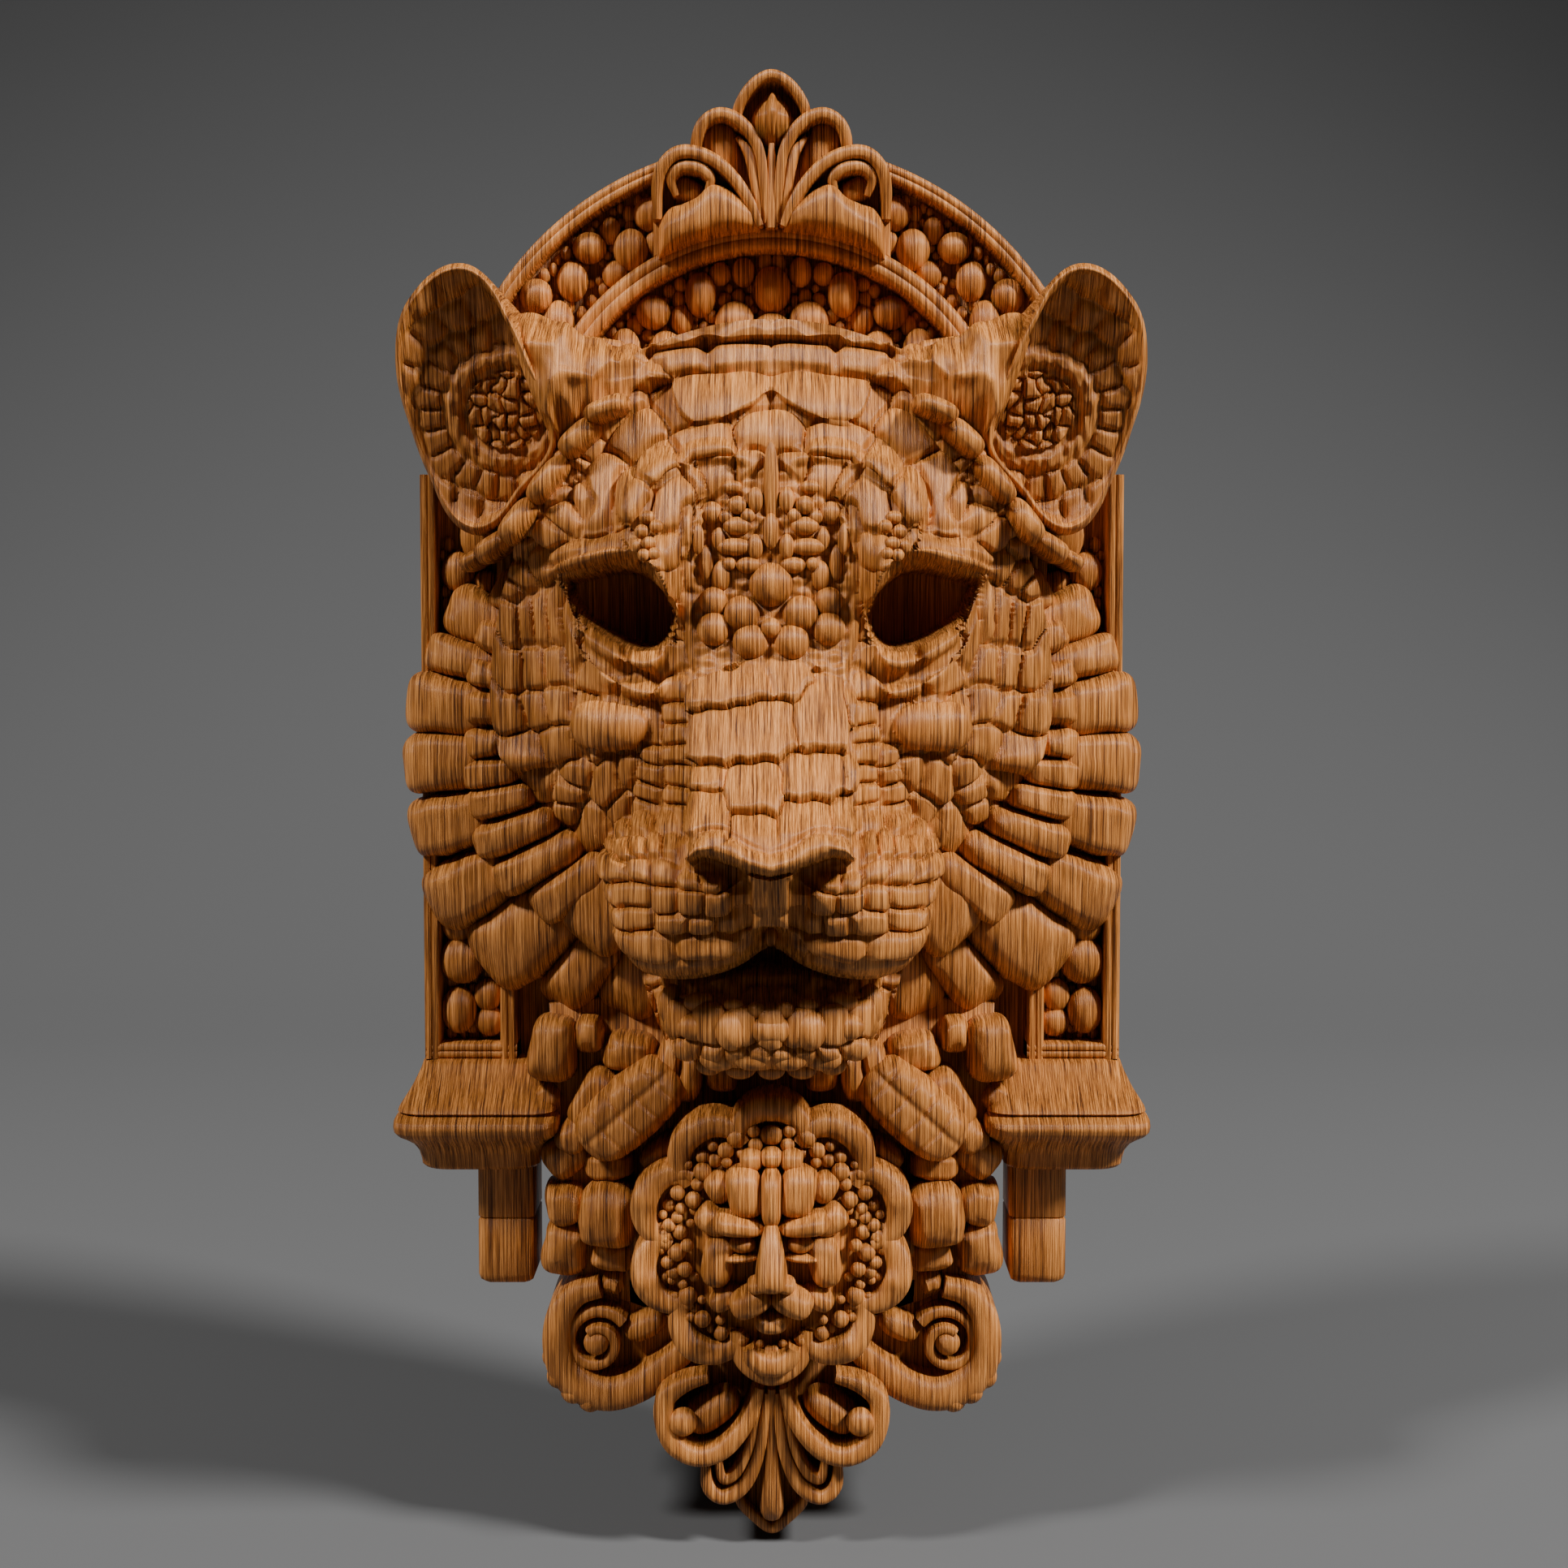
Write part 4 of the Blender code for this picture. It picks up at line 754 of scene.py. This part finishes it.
# mane and breast
mane = {
    "faceCentre": (0, 30),
    # angle round the face, distance, half length, half width, reach
    "outer": (
        (158, 128, 18, 11, 50), (166, 131, 18, 8.5, 52), (174.5, 132, 21, 12.5, 55),
        (184.5, 134, 20, 12.5, 56), (195, 136, 20, 12.5, 56), (206.5, 139, 21, 14, 56),
        (219, 131, 24, 17, 58), (231, 124, 21, 11, 57), (241, 114, 20, 13, 57)),
    "inner": (
        (151, 117, 13, 9, 57), (160, 117, 12, 7, 59), (167.5, 118, 10, 6, 60), (174, 118, 9, 7.5, 61),
        (181, 117, 9, 6.5, 62), (187, 115, 13, 6.4, 64), (193, 113, 15, 6.6, 66), (200, 111, 19, 7.4, 68),
        (208, 107, 21, 8, 70), (216.5, 100, 20, 8.6, 73), (226, 92, 22, 15, 74), (239, 86, 19, 11, 74)),
    # place x and z, direction, half length, half width, reach
    "breast": (
        (-90, -98, 262, 14, 10, 62), (-75, -92, 270, 8, 6, 58), (-72.5, -119, 246, 14.5, 9, 62),
        (-58, -99, 262, 8.5, 11, 63), (-42, -104, 258, 13, 6, 66), (-33, -106, 262, 13, 5, 68),
        (-85, -143, 218, 10.5, 8.5, 54), (-67, -146, 182, 10.5, 6.5, 60), (-85, -163, 190, 9, 9, 57),
        (-67, -165, 262, 14, 12, 70), (-86, -182, 262, 12, 9.5, 55), (-66, -184, 262, 7, 8.5, 58),
        (-20, -103, 268, 12, 7, 66), (-95, -121, 215, 9, 7, 50), (-52, -176, 262, 12, 8, 56),
        (-66, -196, 250, 6, 5, 52), (-80, -132, 232, 11, 6.5, 60), (-46, -140, 222, 9, 5, 66)),
    "leaf": ((-57.5, -120), 222, 24, 13.5, 75),   # place, direction, half length, half width, reach
}


def carveMane():
    # two rings of petals that point away from the face's centre, and the tufts of the breast
    clay, centre = Clay(), mane["faceCentre"]
    for row, depth, droop in ((mane["outer"], 24, 19), (mane["inner"], 22, 12)):
        for seed, (angle, distance, length, width, reach) in enumerate(row):
            petal(clay, polar(centre, distance, math.radians(angle)), reach, angle, length, width, depth,
                  0.12, 0.5, droop, (24, 36), 0.05, seed + droop)
    for radius, front in ((124, 38), (137, 29)):   # the solid wood under the petals
        edge = arcPath(centre, radius, 154, 246, 40)
        slab(clay, np.concatenate([edge, edge[::-1] * 0.5 + (0, centre[1] * 0.5)]), 3, front, 1, True)
    clay.build("mane")
    clay = Clay()
    for seed, (x, z, direction, length, width, reach) in enumerate(mane["breast"]):
        petal(clay, (x, z), reach, direction, length, width, 18, 0.1, 0.6, 6, (24, 36), 0.06, seed)
    # the ribbed leaf: a low broad dome with a shallow fold down its middle and soft ribs across it
    place, direction, long, wide, out = mane["leaf"]
    u, v = np.linspace(-1, 1, 72)[:, None], np.linspace(-1, 1, 44)   # along and across it
    run, side = u * np.sqrt(1 - 0.30 * v * v) * long, v * np.sqrt(1 - 0.26 * u * u)
    height = out - 9 * (u ** 6 + v ** 6) - 0.9 * ridge(v * wide + 2, 1.6)
    vein = np.abs(np.mod(run / 9.5 + np.abs(side) * 0.15 + 0.2, 1) - 0.5)
    height -= 1.3 * ramp(0.16, 0, vein)
    clay.sheet(surface(*turned(place, direction, run, side * wide), height), 30, True)
    slab(clay, mirrored([(0, -70), (-92, -80), (-88, -186), (-76, -200), (-62, -205), (0, -228)]), 3, 41)
    clay.build("breast")


carveMane()


# board, frame, berries
board = {
    "halfWidth": 145, "thickness": 16, "bottom": -105, "frameReach": 31,
    "rim": 6.5, "channel": 25, "innerRim": 7, "archCentre": 137.6, "archRadius": 135.3,
    "lunetteRadius": 100.3, "lunetteRim": 9.5, "archReach": 36,
    "inset": 0.25,   # the board's edge lies just inside its frame's
    "apron": ((-88, -90), (-88, -186), (-80, -200), (-58, -236), (0, -262)),
    "berry": 8, "smaller": ((1, 500, 0.94), (0.7, 700, 0.9), (0.4, 900, 0.85), (0.26, 1500, 0.8)),
}


def rimSection(width, back, front):
    # a rim with rounded front edges and a shallow groove along its crown
    half, ease = width / 2, min(width, front - back) * 0.22
    return ((-half, back), (half, back), (half, front - ease), (half - ease * 0.3, front - ease * 0.3),
            (half - ease, front), (half * 0.15, front), (0, front - 0.7), (-half * 0.15, front),
            (ease - half, front), (ease * 0.3 - half, front - ease * 0.3), (-half, front - ease))


def scatterBerries(inside, box, sizes, seed):
    # drops ever smaller berries at chance places where they touch no other: place and radius
    chooser = np.random.default_rng(seed)
    kept = np.zeros((0, 3))
    for radius, tries, overlap in sizes:
        x = chooser.uniform(box[0], box[2], tries)
        z = chooser.uniform(box[1], box[3], tries)
        size = radius * chooser.uniform(0.85, 1.15, tries)
        fits = inside(x, z) > size * 0.8
        for berry in np.stack([x, z, size], 1)[fits]:
            near = np.hypot(kept[:, 0] - berry[0], kept[:, 1] - berry[1])
            if np.all(near > (kept[:, 2] + berry[2]) * overlap):
                kept = np.vstack([kept, berry])
    return kept


def carveBoard():
    # a flat board with an arch on top; rims run along its sides, foot and arch, with berries between
    b, clay = board, Clay()
    half, low, rim, middle, arch, thick, inset, front = (b[name] for name in (
        "halfWidth", "bottom", "rim", "archCentre", "archRadius", "thickness", "inset", "frameReach"))
    side, foot, shoulder = half - inset, low - 22, middle - inset
    corners = [(-side, shoulder), (-side, foot), (side, foot), (side, shoulder)]
    slab(clay, np.concatenate([arcPath((0, middle), arch - inset, 0, 180, 97), corners]), 0, thick, 0.5)
    slab(clay, mirrored(b["apron"]), 0.3, thick - 0.3, 0.5)
    back, foot = thick / 2, low + rim / 2
    outer, inner = half - rim / 2, half - rim - b["channel"] - b["innerRim"] / 2
    for x, width in ((outer, rim), (inner, b["innerRim"])):
        moulding(clay, [(-x, low), (-x, middle)], rimSection(width, back, front), True)
    path = [(-inner + 3.5, foot), (-outer - rim / 2 + 0.3, foot)]
    moulding(clay, path, rimSection(rim, back, front - 0.2), True)
    for radius, width, reach in ((arch, rim, front), (b["lunetteRadius"], b["lunetteRim"], b["archReach"])):
        path = arcPath((0, middle), radius - width / 2, 0, 180, 121)
        moulding(clay, path, rimSection(width, back, reach))
    clay.build("board_and_frame")

    # how far a point lies inside each of the three fields of berries
    left, right = half - rim, half - rim - b["channel"]

    def inArch(x, z):
        radius = np.hypot(x, z - middle)
        return np.minimum.reduce([arch - rim - radius, radius - b["lunetteRadius"], z - middle])

    def inLunette(x, z):
        return np.minimum(b["lunetteRadius"] - b["lunetteRim"] - np.hypot(x, z - middle), z - 180)

    def inChannel(x, z):
        return np.minimum.reduce([x + left, -right - x, z - low - rim])

    clay = Clay()
    sizes = [(b["berry"] * share, tries, overlap) for share, tries, overlap in b["smaller"]]
    fields = ((inArch, (-100, middle + 40, -38, 272), 5), (inLunette, (-72, 180, 0, 230), 8),
              (inChannel, (-left, low, -right, 113), 9))
    for inside, box, seed in fields:
        berries = scatterBerries(inside, box, sizes, seed)
        for big, steps in ((True, (10, 16)), (False, (6, 8))):
            x, z, radius = berries[(berries[:, 2] > b["berry"] * 0.5) == big].T
            tall, wide = 0.9 + 0.45 * chance(x, z, 3), 0.78 + 0.3 * chance(x, z, 4)
            clay.balls(np.stack([x, z, thick + radius * 0.75], 1),
                       np.stack([radius * wide, radius * tall, radius], 1), steps, True)
    clay.build("berries")


carveBoard()


# brackets and pegs
bracket = {
    "halfWidth": 34, "overhang": 10.35, "height": 44.5, "reach": 62, "corner": 11,
    # share of the height, of the overhang and of the reach
    "profile": (
        (0, 0, 0.52), (0.02, 0.1, 0.58), (0.09, 0.18, 0.63), (0.23, 0.44, 0.75), (0.375, 0.82, 0.91),
        (0.41, 0.86, 0.93), (0.43, 0.78, 0.90), (0.45, 0.90, 0.94), (0.49, 0.98, 0.985), (0.54, 1, 1),
        (0.60, 0.97, 0.98), (0.645, 0.84, 0.94), (0.67, 0.72, 0.90), (0.69, 0.62, 0.87), (0.75, 0.38, 0.79),
        (0.83, 0.2, 0.73), (0.92, 0.12, 0.70), (0.97, 0.1, 0.69), (1, 0, 0.66)),
    "pegWidth": 23.5, "pegReach": 34,
    # how far down, inset
    "peg": ((-3, 0), (21.5, 0), (22.3, 0.9), (23.1, 0), (46, 0), (48.5, 0.8), (50, 2.6)),
}


def carveBrackets():
    # the bracket is a stack of level outlines with rounded corners, as wide and deep as the
    # profile says, and the peg below it a stack of bevelled ones
    k, b, clay = bracket, board, Clay()
    centre = -(b["halfWidth"] + k["overhang"] - k["halfWidth"])
    corner, r = np.linspace(0, math.pi / 2, 7), k["corner"]
    profile = np.array(k["profile"])
    at = np.linspace(0, len(profile) - 1, 70)
    rows = []
    for down, out, reach in zip(*(np.interp(at, np.arange(len(profile)), column) for column in profile.T)):
        half, front = k["halfWidth"] - k["overhang"] * (1 - out), k["reach"] * reach
        x = np.concatenate([[-half], -half + r - r * cos(corner), half - r + r * sin(corner), [half]])
        line = np.concatenate([[0.3], front - r + r * sin(corner), front - r + r * cos(corner), [0.3]])
        rows.append(surface(centre + x, b["bottom"] - k["height"] * down, line))
    clay.rings(np.array(rows), True)
    middle = -(b["halfWidth"] - k["overhang"] - k["pegWidth"])
    top, half = b["bottom"] - k["height"], k["pegWidth"] / 2
    rows = []
    for down, inset in k["peg"]:
        side, front = half - inset, k["pegReach"] - inset
        x = np.array([-side, -side, -side + 2, half - 2 - inset, side, side])
        rows.append(surface(middle + x, top - down, [0.4, front - 2, front, front, front - 2, 0.4]))
    clay.rings(np.array(rows), True)
    clay.build("brackets_and_pegs")


carveBrackets()


# crest, scrolls and the bottom palmette
crest = {
    "leafEdge": [
        (-46, 239), (-42, 244.5), (-36, 246.5), (-30, 249), (-24.5, 254), (-18, 252), (-11, 246.5),
        (-4.4, 240.5)],
    "leafMiddle": -25.2, "leafHalf": 20.8, "footRadius": 100.6,
    "buds": [
        (0.3, 280.5, 49, 90, 11.5, 8.6, 16, -0.15, 1.25), (0.3, 281, 51, 90, 9.5, 3.4, 10, -0.1, 1.3),
        (-20.5, 268, 40, 105, 13, 8, 12, 0.1, 0.8), (-33.5, 251.5, 41, 150, 8, 5.5, 10, 0, 0.8)],
    # knots of the left half's bands: x, z, half width, reach
    "outline": [
        (0, 298.6), (-6.4, 295), (-11, 289.8), (-14.5, 284), (-19, 284.2), (-25, 283), (-30.5, 278.5),
        (-32.6, 270.5), (-38, 269.3), (-44, 266.5), (-47, 261.5), (-48.3, 255), (-48.6, 226), (0, 236)],
    "top": [
        (-14, 276, 1.2, 40), (-14, 282, 1.9, 44), (-11, 288.5, 2.1, 46), (-6, 293.8, 2.2, 47),
        (0, 296.2, 2.2, 48)],
    "second": [
        (-31.2, 258, 1.5, 38), (-30.6, 269, 2.3, 43), (-28, 277, 2.5, 45), (-21.8, 281, 2.6, 46.5),
        (-14.5, 279.3, 2.6, 46.5), (-8.2, 273.2, 2.4, 46), (-4.6, 265, 2.1, 45.5), (-3, 252, 1.9, 45),
        (-2.2, 238, 1.3, 43)],
    "secondInner": [
        (-14, 273, 0.8, 39), (-9.5, 266.5, 1.9, 43), (-7.2, 257, 1.9, 44), (-5.8, 247, 1.6, 44),
        (-4.6, 238, 1, 42)],
    "third": [
        (-46.4, 240, 1.8, 40), (-46.2, 252, 2.4, 44), (-44, 260, 2.6, 47), (-38, 265.2, 2.8, 48.5),
        (-30, 265.2, 2.8, 49), (-21.5, 261.3, 2.6, 49), (-14, 254, 2.4, 48.5), (-8.6, 245.5, 2.1, 48),
        (-4.5, 236.5, 1.4, 46)],
    "hook": [
        (-38.5, 249, 1.3, 42), (-40.5, 255.5, 2.1, 45), (-36.5, 259.8, 2.4, 47), (-29.5, 259.3, 2.4, 48),
        (-24.6, 255.4, 2.1, 47), (-25.5, 251, 1.4, 45)],
}


def carveCrest():
    # bands that spread like a fan from the middle of the arch, with buds between them
    clay = Clay()
    slab(clay, mirrored(crest["outline"]), 0.2, 31, 1)
    band(clay, mirrored(crest["top"]), both=False)
    petals(clay, crest["buds"])
    for name in ("second", "secondInner", "third", "hook"):
        band(clay, crest[name])
    # the plump leaf at its foot: a cushion between the arch below and its peaked upper edge
    u, v = np.linspace(-1, 1, 70)[:, None], np.linspace(-1, 1, 60)
    x = crest["leafMiddle"] + crest["leafHalf"] * u
    foot = np.sqrt(crest["footRadius"] ** 2 - x ** 2) + board["archCentre"] - 3
    head = lineOf(crest["leafEdge"], x)
    cushion = ((1 - np.abs(u) ** 3.2) * (1 - np.abs(v) ** 3.2)) ** 0.45
    reach = 36 + 15 * cushion - 3.5 * ridge(x + 40, 7) * ramp(0, 0.9, v)
    clay.sheet(surface(x, (foot + head) / 2 + (head - foot) / 2 * v, reach), 20, True)
    band(clay, [(0, 236, 2.5, 44), (0, 250, 2.2, 44), (0, 262, 1.8, 43), (0, 270, 1, 42)], both=False)
    clay.build("crest")


scroll = {
    # how much further out than their tables the scrolls and the palmette stand
    "lift": 15, "leafLift": 33,
    "outer": [
        (-33, -219, 4, 44), (-43.5, -229.5, 6.3, 43), (-55, -237.6, 6.8, 42), (-67, -241, 7.2, 42),
        (-77.5, -238.3, 7.4, 42), (-85.5, -231, 6.8, 42), (-88.7, -219, 6, 42), (-87, -207.5, 5.6, 41),
        (-80.5, -199.5, 5, 40), (-71, -197, 4.2, 38)],
    "centre": (-72.4, -219.3), "coil": (13.5, 5.4, 1.25),   # radius outside and inside, turns
    "leaf": [
        (-26, -230, 2.2, 34), (-36, -232.2, 3.4, 38), (-43, -238, 4, 39), (-43.6, -247.5, 4.1, 40),
        (-39.6, -257, 4.1, 40.5), (-30.5, -261.5, 4.2, 41), (-21, -259.3, 4, 41), (-13, -251.5, 3.4, 41),
        (-7.8, -242.5, 2.8, 40), (-4.8, -233, 2, 38)],
    "small": [
        (-27.3, -264, 1.5, 31), (-26.6, -276, 2.6, 35), (-21.6, -281.4, 3, 36), (-15.4, -280, 3, 36.5),
        (-9.5, -273.2, 2.8, 37), (-5, -261, 2.3, 37), (-2.8, -246, 1.9, 37), (-1.8, -236, 1.5, 35)],
    "smallInner": [
        (-22.3, -264, 1.2, 31), (-20.3, -273.6, 2, 34), (-15.4, -272.2, 2, 35), (-11, -265, 1.8, 35.5),
        (-7.8, -255.5, 1.7, 36), (-5.8, -243, 1.4, 36)],
    "tip": [(-13.6, -280, 1, 29), (-13, -286.2, 1.9, 32.5), (-6.5, -293.6, 2.1, 33), (0, -298.6, 2.2, 32)],
    "stem": [
        (0, -234, 1.6, 36), (0, -256, 2, 37), (0, -272, 3.4, 37.5), (0, -286, 5, 37), (0, -292, 3.6, 34),
        (0, -294, 1.5, 31)],
    # balls beside the scroll: place and radius
    "knobs": [(-90.5, -226, 4.5), (-88, -234, 5.2), (-82, -240, 5.6), (-75, -243.5, 5.6), (-90, -212, 4.2)],
    "outline": [
        (0, -225), (-26, -226), (-44, -232), (-47.4, -241), (-47.2, -251), (-41.5, -262), (-31, -266),
        (-29.6, -272), (-28.8, -280), (-22, -284.8), (-15.5, -284.5), (-14.6, -287.5), (0, -300.8)],
}


def lifted(knots, rise, foot=0):
    # the same knots further out; foot is how much less the lowest knot (z = -301) is lifted
    knots = np.array(knots, float)
    knots[:, 3] += rise - foot * np.clip((-240 - knots[:, 1]) / 61, 0, 1)
    return knots


def carveScrolls():
    # a band that coils into each scroll, and the palmette of bands that hangs below them
    up, leafUp, (cx, cz) = scroll["lift"], scroll["leafLift"], scroll["centre"]
    outside, inside, turns = scroll["coil"]
    clay = Clay()
    turn = np.radians(np.arange(0, 360, 5))   # the wood behind the scroll, and beside it
    slab(clay, np.stack([-71.5 + 22 * cos(turn), -220 + 27 * sin(turn)], 1), 0.2, 24 + up, 1, True)
    slab(clay, [(-60, -195), (-58, -240), (-30, -226), (-30, -195)], 0.5, 26 + up, 1, True)
    band(clay, lifted(scroll["outer"], up), steps=110)
    t = np.linspace(0, 1, 24)
    x, z = polar((cx, cz), outside + (inside - outside) * t, math.radians(35) + t * turns * 2 * math.pi)
    band(clay, np.stack([x, z, 2.5 - 0.6 * t, 37 + up + 4 * t], 1), steps=130)
    clay.balls((cx, cz, 37 + up), (5.2, 5.2, 5.2), (14, 22), True)
    x, z, radius = np.array(scroll["knobs"]).T
    clay.balls(surface(x, z, 34 + up), surface(radius, radius, radius * 1.3), (10, 16), True)
    petals(clay, [(-53, -214, 37 + up, 205, 9, 6, 10, 0, 0.8),
                  (-24.5, -245.5, 34 + leafUp, 212, 12.5, 7.5, 12, 0.1, 0.8)])
    outline = mirrored(scroll["outline"])
    slab(clay, outline, 0.2, 25, 1)
    slab(clay, outline * (0.93, 0.96) + (0, -9), 0.4, 25 + leafUp * 0.6, 1)
    band(clay, lifted(scroll["leaf"], leafUp, 5), steps=100)
    clay.balls((-36.2, -247, 36 + leafUp), (6, 6, 5.5), (14, 22), True)
    for name in ("small", "smallInner"):
        band(clay, lifted(scroll[name], leafUp, 10))
    band(clay, lifted(mirrored(scroll["tip"]), leafUp, 15), both=False)
    band(clay, lifted(scroll["stem"], leafUp, 12), both=False)
    clay.build("scrolls_and_palmette")


carveCrest()
carveScrolls()


# medallion with the beast mask
medallion = {
    "centre": (0, -169), "lobes": 10, "lobeRing": 39, "lobeRadius": 14.5, "rimReach": 87,
    # share of the radius, reach
    "dish": (
        (0.02, 84), (0.5, 81), (0.78, 75), (0.83, 76), (0.97, 78), (1, 75), (0.985, 60), (0.98, 40),
        (0.975, 4)),
    "radius": 55.5,
    # beads fill the ring between an ellipse round the mask and the rim: radius, tries, overlap
    "maskRadii": (31, 37), "ringRadius": 47,
    "beads": ((3.7, 260, 0.86), (2.9, 700, 0.82), (2.1, 1500, 0.78)),
    # the mask's petals, placed from the centre
    "mask": (
        (-10.5, 21, 99, 100, 10.5, 7.4, 16, 0, 0.6), (0, 19, 101, 90, 12, 4.6, 15, 0, 0.7),
        (-12.5, 8.6, 102, 168, 10.5, 4.4, 13, 0.3, 0.7), (-11.5, 0.6, 96.5, 175, 5.4, 3.6, 6, 0, 1),
        (-11.8, -4.6, 97, 186, 7.4, 1.8, 6, 0, 0.9), (0, -3, 107, 270, 13.5, 5.4, 13, 0.42, 0.6),
        (-5.2, -14, 104, 190, 4.4, 3.4, 8, 0, 0.8), (-8.3, -21.8, 102, 205, 8.6, 6.2, 12, 0, 0.75),
        (0, -31, 98, 90, 4.2, 6.6, 9, 0, 0.8), (-21, -7, 95, 80, 11, 6.6, 12, 0, 0.7),
        (-23, 9, 93, 150, 7.6, 6, 10, 0, 0.7), (-21, 22, 92, 120, 6.5, 5.4, 9, 0, 0.8),
        (-18.5, -22.5, 92, 215, 7, 4.6, 9, 0, 0.8), (-8, 33, 92, 100, 4.6, 4.6, 8, 0, 0.8),
        (0, 34, 92, 90, 4, 4.4, 8, 0, 0.8)),
}


def carveMedallion():
    # a lobed dish: the radius follows |cos| of the angle, the profile in "dish" gives the reach
    m, clay = medallion, Clay()
    cx, cz = m["centre"]
    angle = circle(180)
    share, reach = through(m["dish"], np.linspace(0, len(m["dish"]) - 1, 44)[:, None])
    lobes = np.abs(cos((angle - math.pi / 2) * m["lobes"] / 2)) ** 0.8
    clay.rings(surface(*polar((cx, cz), m["radius"] * (0.93 + 0.07 * lobes) * share, angle), reach))
    for k in range(m["lobes"]):   # each lobe of the rim is a hood bent round its own centre
        turn = math.radians(90 + k * 360 / m["lobes"])
        bend = np.radians(np.linspace(-96, 96, 9))
        x, z = polar((cx, cz), m["lobeRing"], turn)
        x, z = x + m["lobeRadius"] * cos(turn + bend) * 0.97, z + m["lobeRadius"] * sin(turn + bend)
        half = 2.2 + 3.2 * cos(bend * 0.9) ** 0.8
        band(clay, np.stack([x, z, half, m["rimReach"] - 4 * np.abs(sin(bend))], 1), 60, 44, False)
    petals(clay, m["mask"], (cx, cz), steps=(22, 30))
    lip = np.radians(np.linspace(192, 348, 9))   # the mask's lower lip
    band(clay, np.stack([cx + 9.5 * cos(lip), cz - 40.5 + 9 * sin(lip), 1.6 + 3 * sin(-lip) ** 0.8,
                         91 + 0 * lip], 1), 60, 40, False)

    def inRing(x, z):
        across, up = m["maskRadii"]
        return np.minimum(m["ringRadius"] - np.hypot(x, z), (np.hypot(x / across, (z + 2) / up) - 1) * 30)

    x, z, radius = scatterBerries(inRing, (-48, -48, 0, 48), m["beads"], 31).T
    out = 78 + 7 * (1 - (np.hypot(x, z) / 48) ** 2) + 3 * chance(x, z, 2)
    clay.balls(surface(x + cx, z + cz, out), surface(radius, radius, radius), (6, 10), True)
    clay.build("medallion")


carveMedallion()


# floor, light and camera
studio = {
    "floor": (0.113, 0.113, 0.113, 1), "floorHeight": -0.304, "world": 0.025,
    # each lamp's place and power in watts, and for both the radius and the cone's angle in degrees
    "lamps": {"right": ((3.14, -2.20, 3.20), 1640), "left": ((-2.80, -2.35, 3.40), 880)},
    "lampRadius": 0.40, "cone": 72,
    "aim": (0.005, -0.030, 0.010), "distance": 1.050, "tilt": 3.8, "lens": 58.1,
}


def stage():
    # a pale floor that curves up into a backdrop far behind the carving
    bend = np.linspace(0.1, math.pi / 2, 20)
    y = np.concatenate([[-6], np.linspace(-5, 1.2, 8), 1.2 + 1.6 * sin(bend), [2.8]])
    z = np.concatenate([np.zeros(9), 1.6 - 1.6 * cos(bend), [6]]) + studio["floorHeight"]
    grid = surface(np.linspace(-6, 6, 3), y[:, None], z[:, None])
    mesh = bpy.data.meshes.new("pale_floor")
    mesh.from_pydata(grid.reshape(-1, 3).tolist(), [], gridQuads(*grid.shape[:2], False).tolist())
    mesh.shade_smooth()
    paint = Paint("pale_floor")
    paint.shade({"Base Color": studio["floor"], "Roughness": 0.9})
    mesh.materials.append(paint.material)
    floor = addObject("pale_floor", mesh)


def lightAndCamera():
    # two soft lamps aimed at the carving, and a camera a little above its middle
    for name, (place, power) in studio["lamps"].items():
        lamp = bpy.data.lights.new(name, "SPOT")
        lamp.energy = power
        lamp.shadow_soft_size = studio["lampRadius"]
        lamp.spot_size = math.radians(studio["cone"])
        lamp.spot_blend = 1
        holder = addObject(name, lamp)
        holder.location = place
        holder.rotation_euler = (-Vector(place)).to_track_quat("-Z", "Y").to_euler()
    world = bpy.data.worlds.new("studio")
    world.use_nodes = True
    colour, strength = world.node_tree.nodes["Background"].inputs[:2]
    colour.default_value, strength.default_value = (0.5, 0.5, 0.5, 1), studio["world"]
    bpy.context.scene.world = world
    camera = bpy.data.cameras.new("camera")
    camera.lens, camera.sensor_width = studio["lens"], 36
    holder, tilt = addObject("camera", camera), math.radians(studio["tilt"])
    away = Vector((0, -cos(tilt), sin(tilt)))
    holder.location = Vector(studio["aim"]) + studio["distance"] * away
    holder.rotation_euler = (math.pi / 2 - tilt, 0, 0)
    bpy.context.scene.camera = holder


stage()
lightAndCamera()
print("stage set")
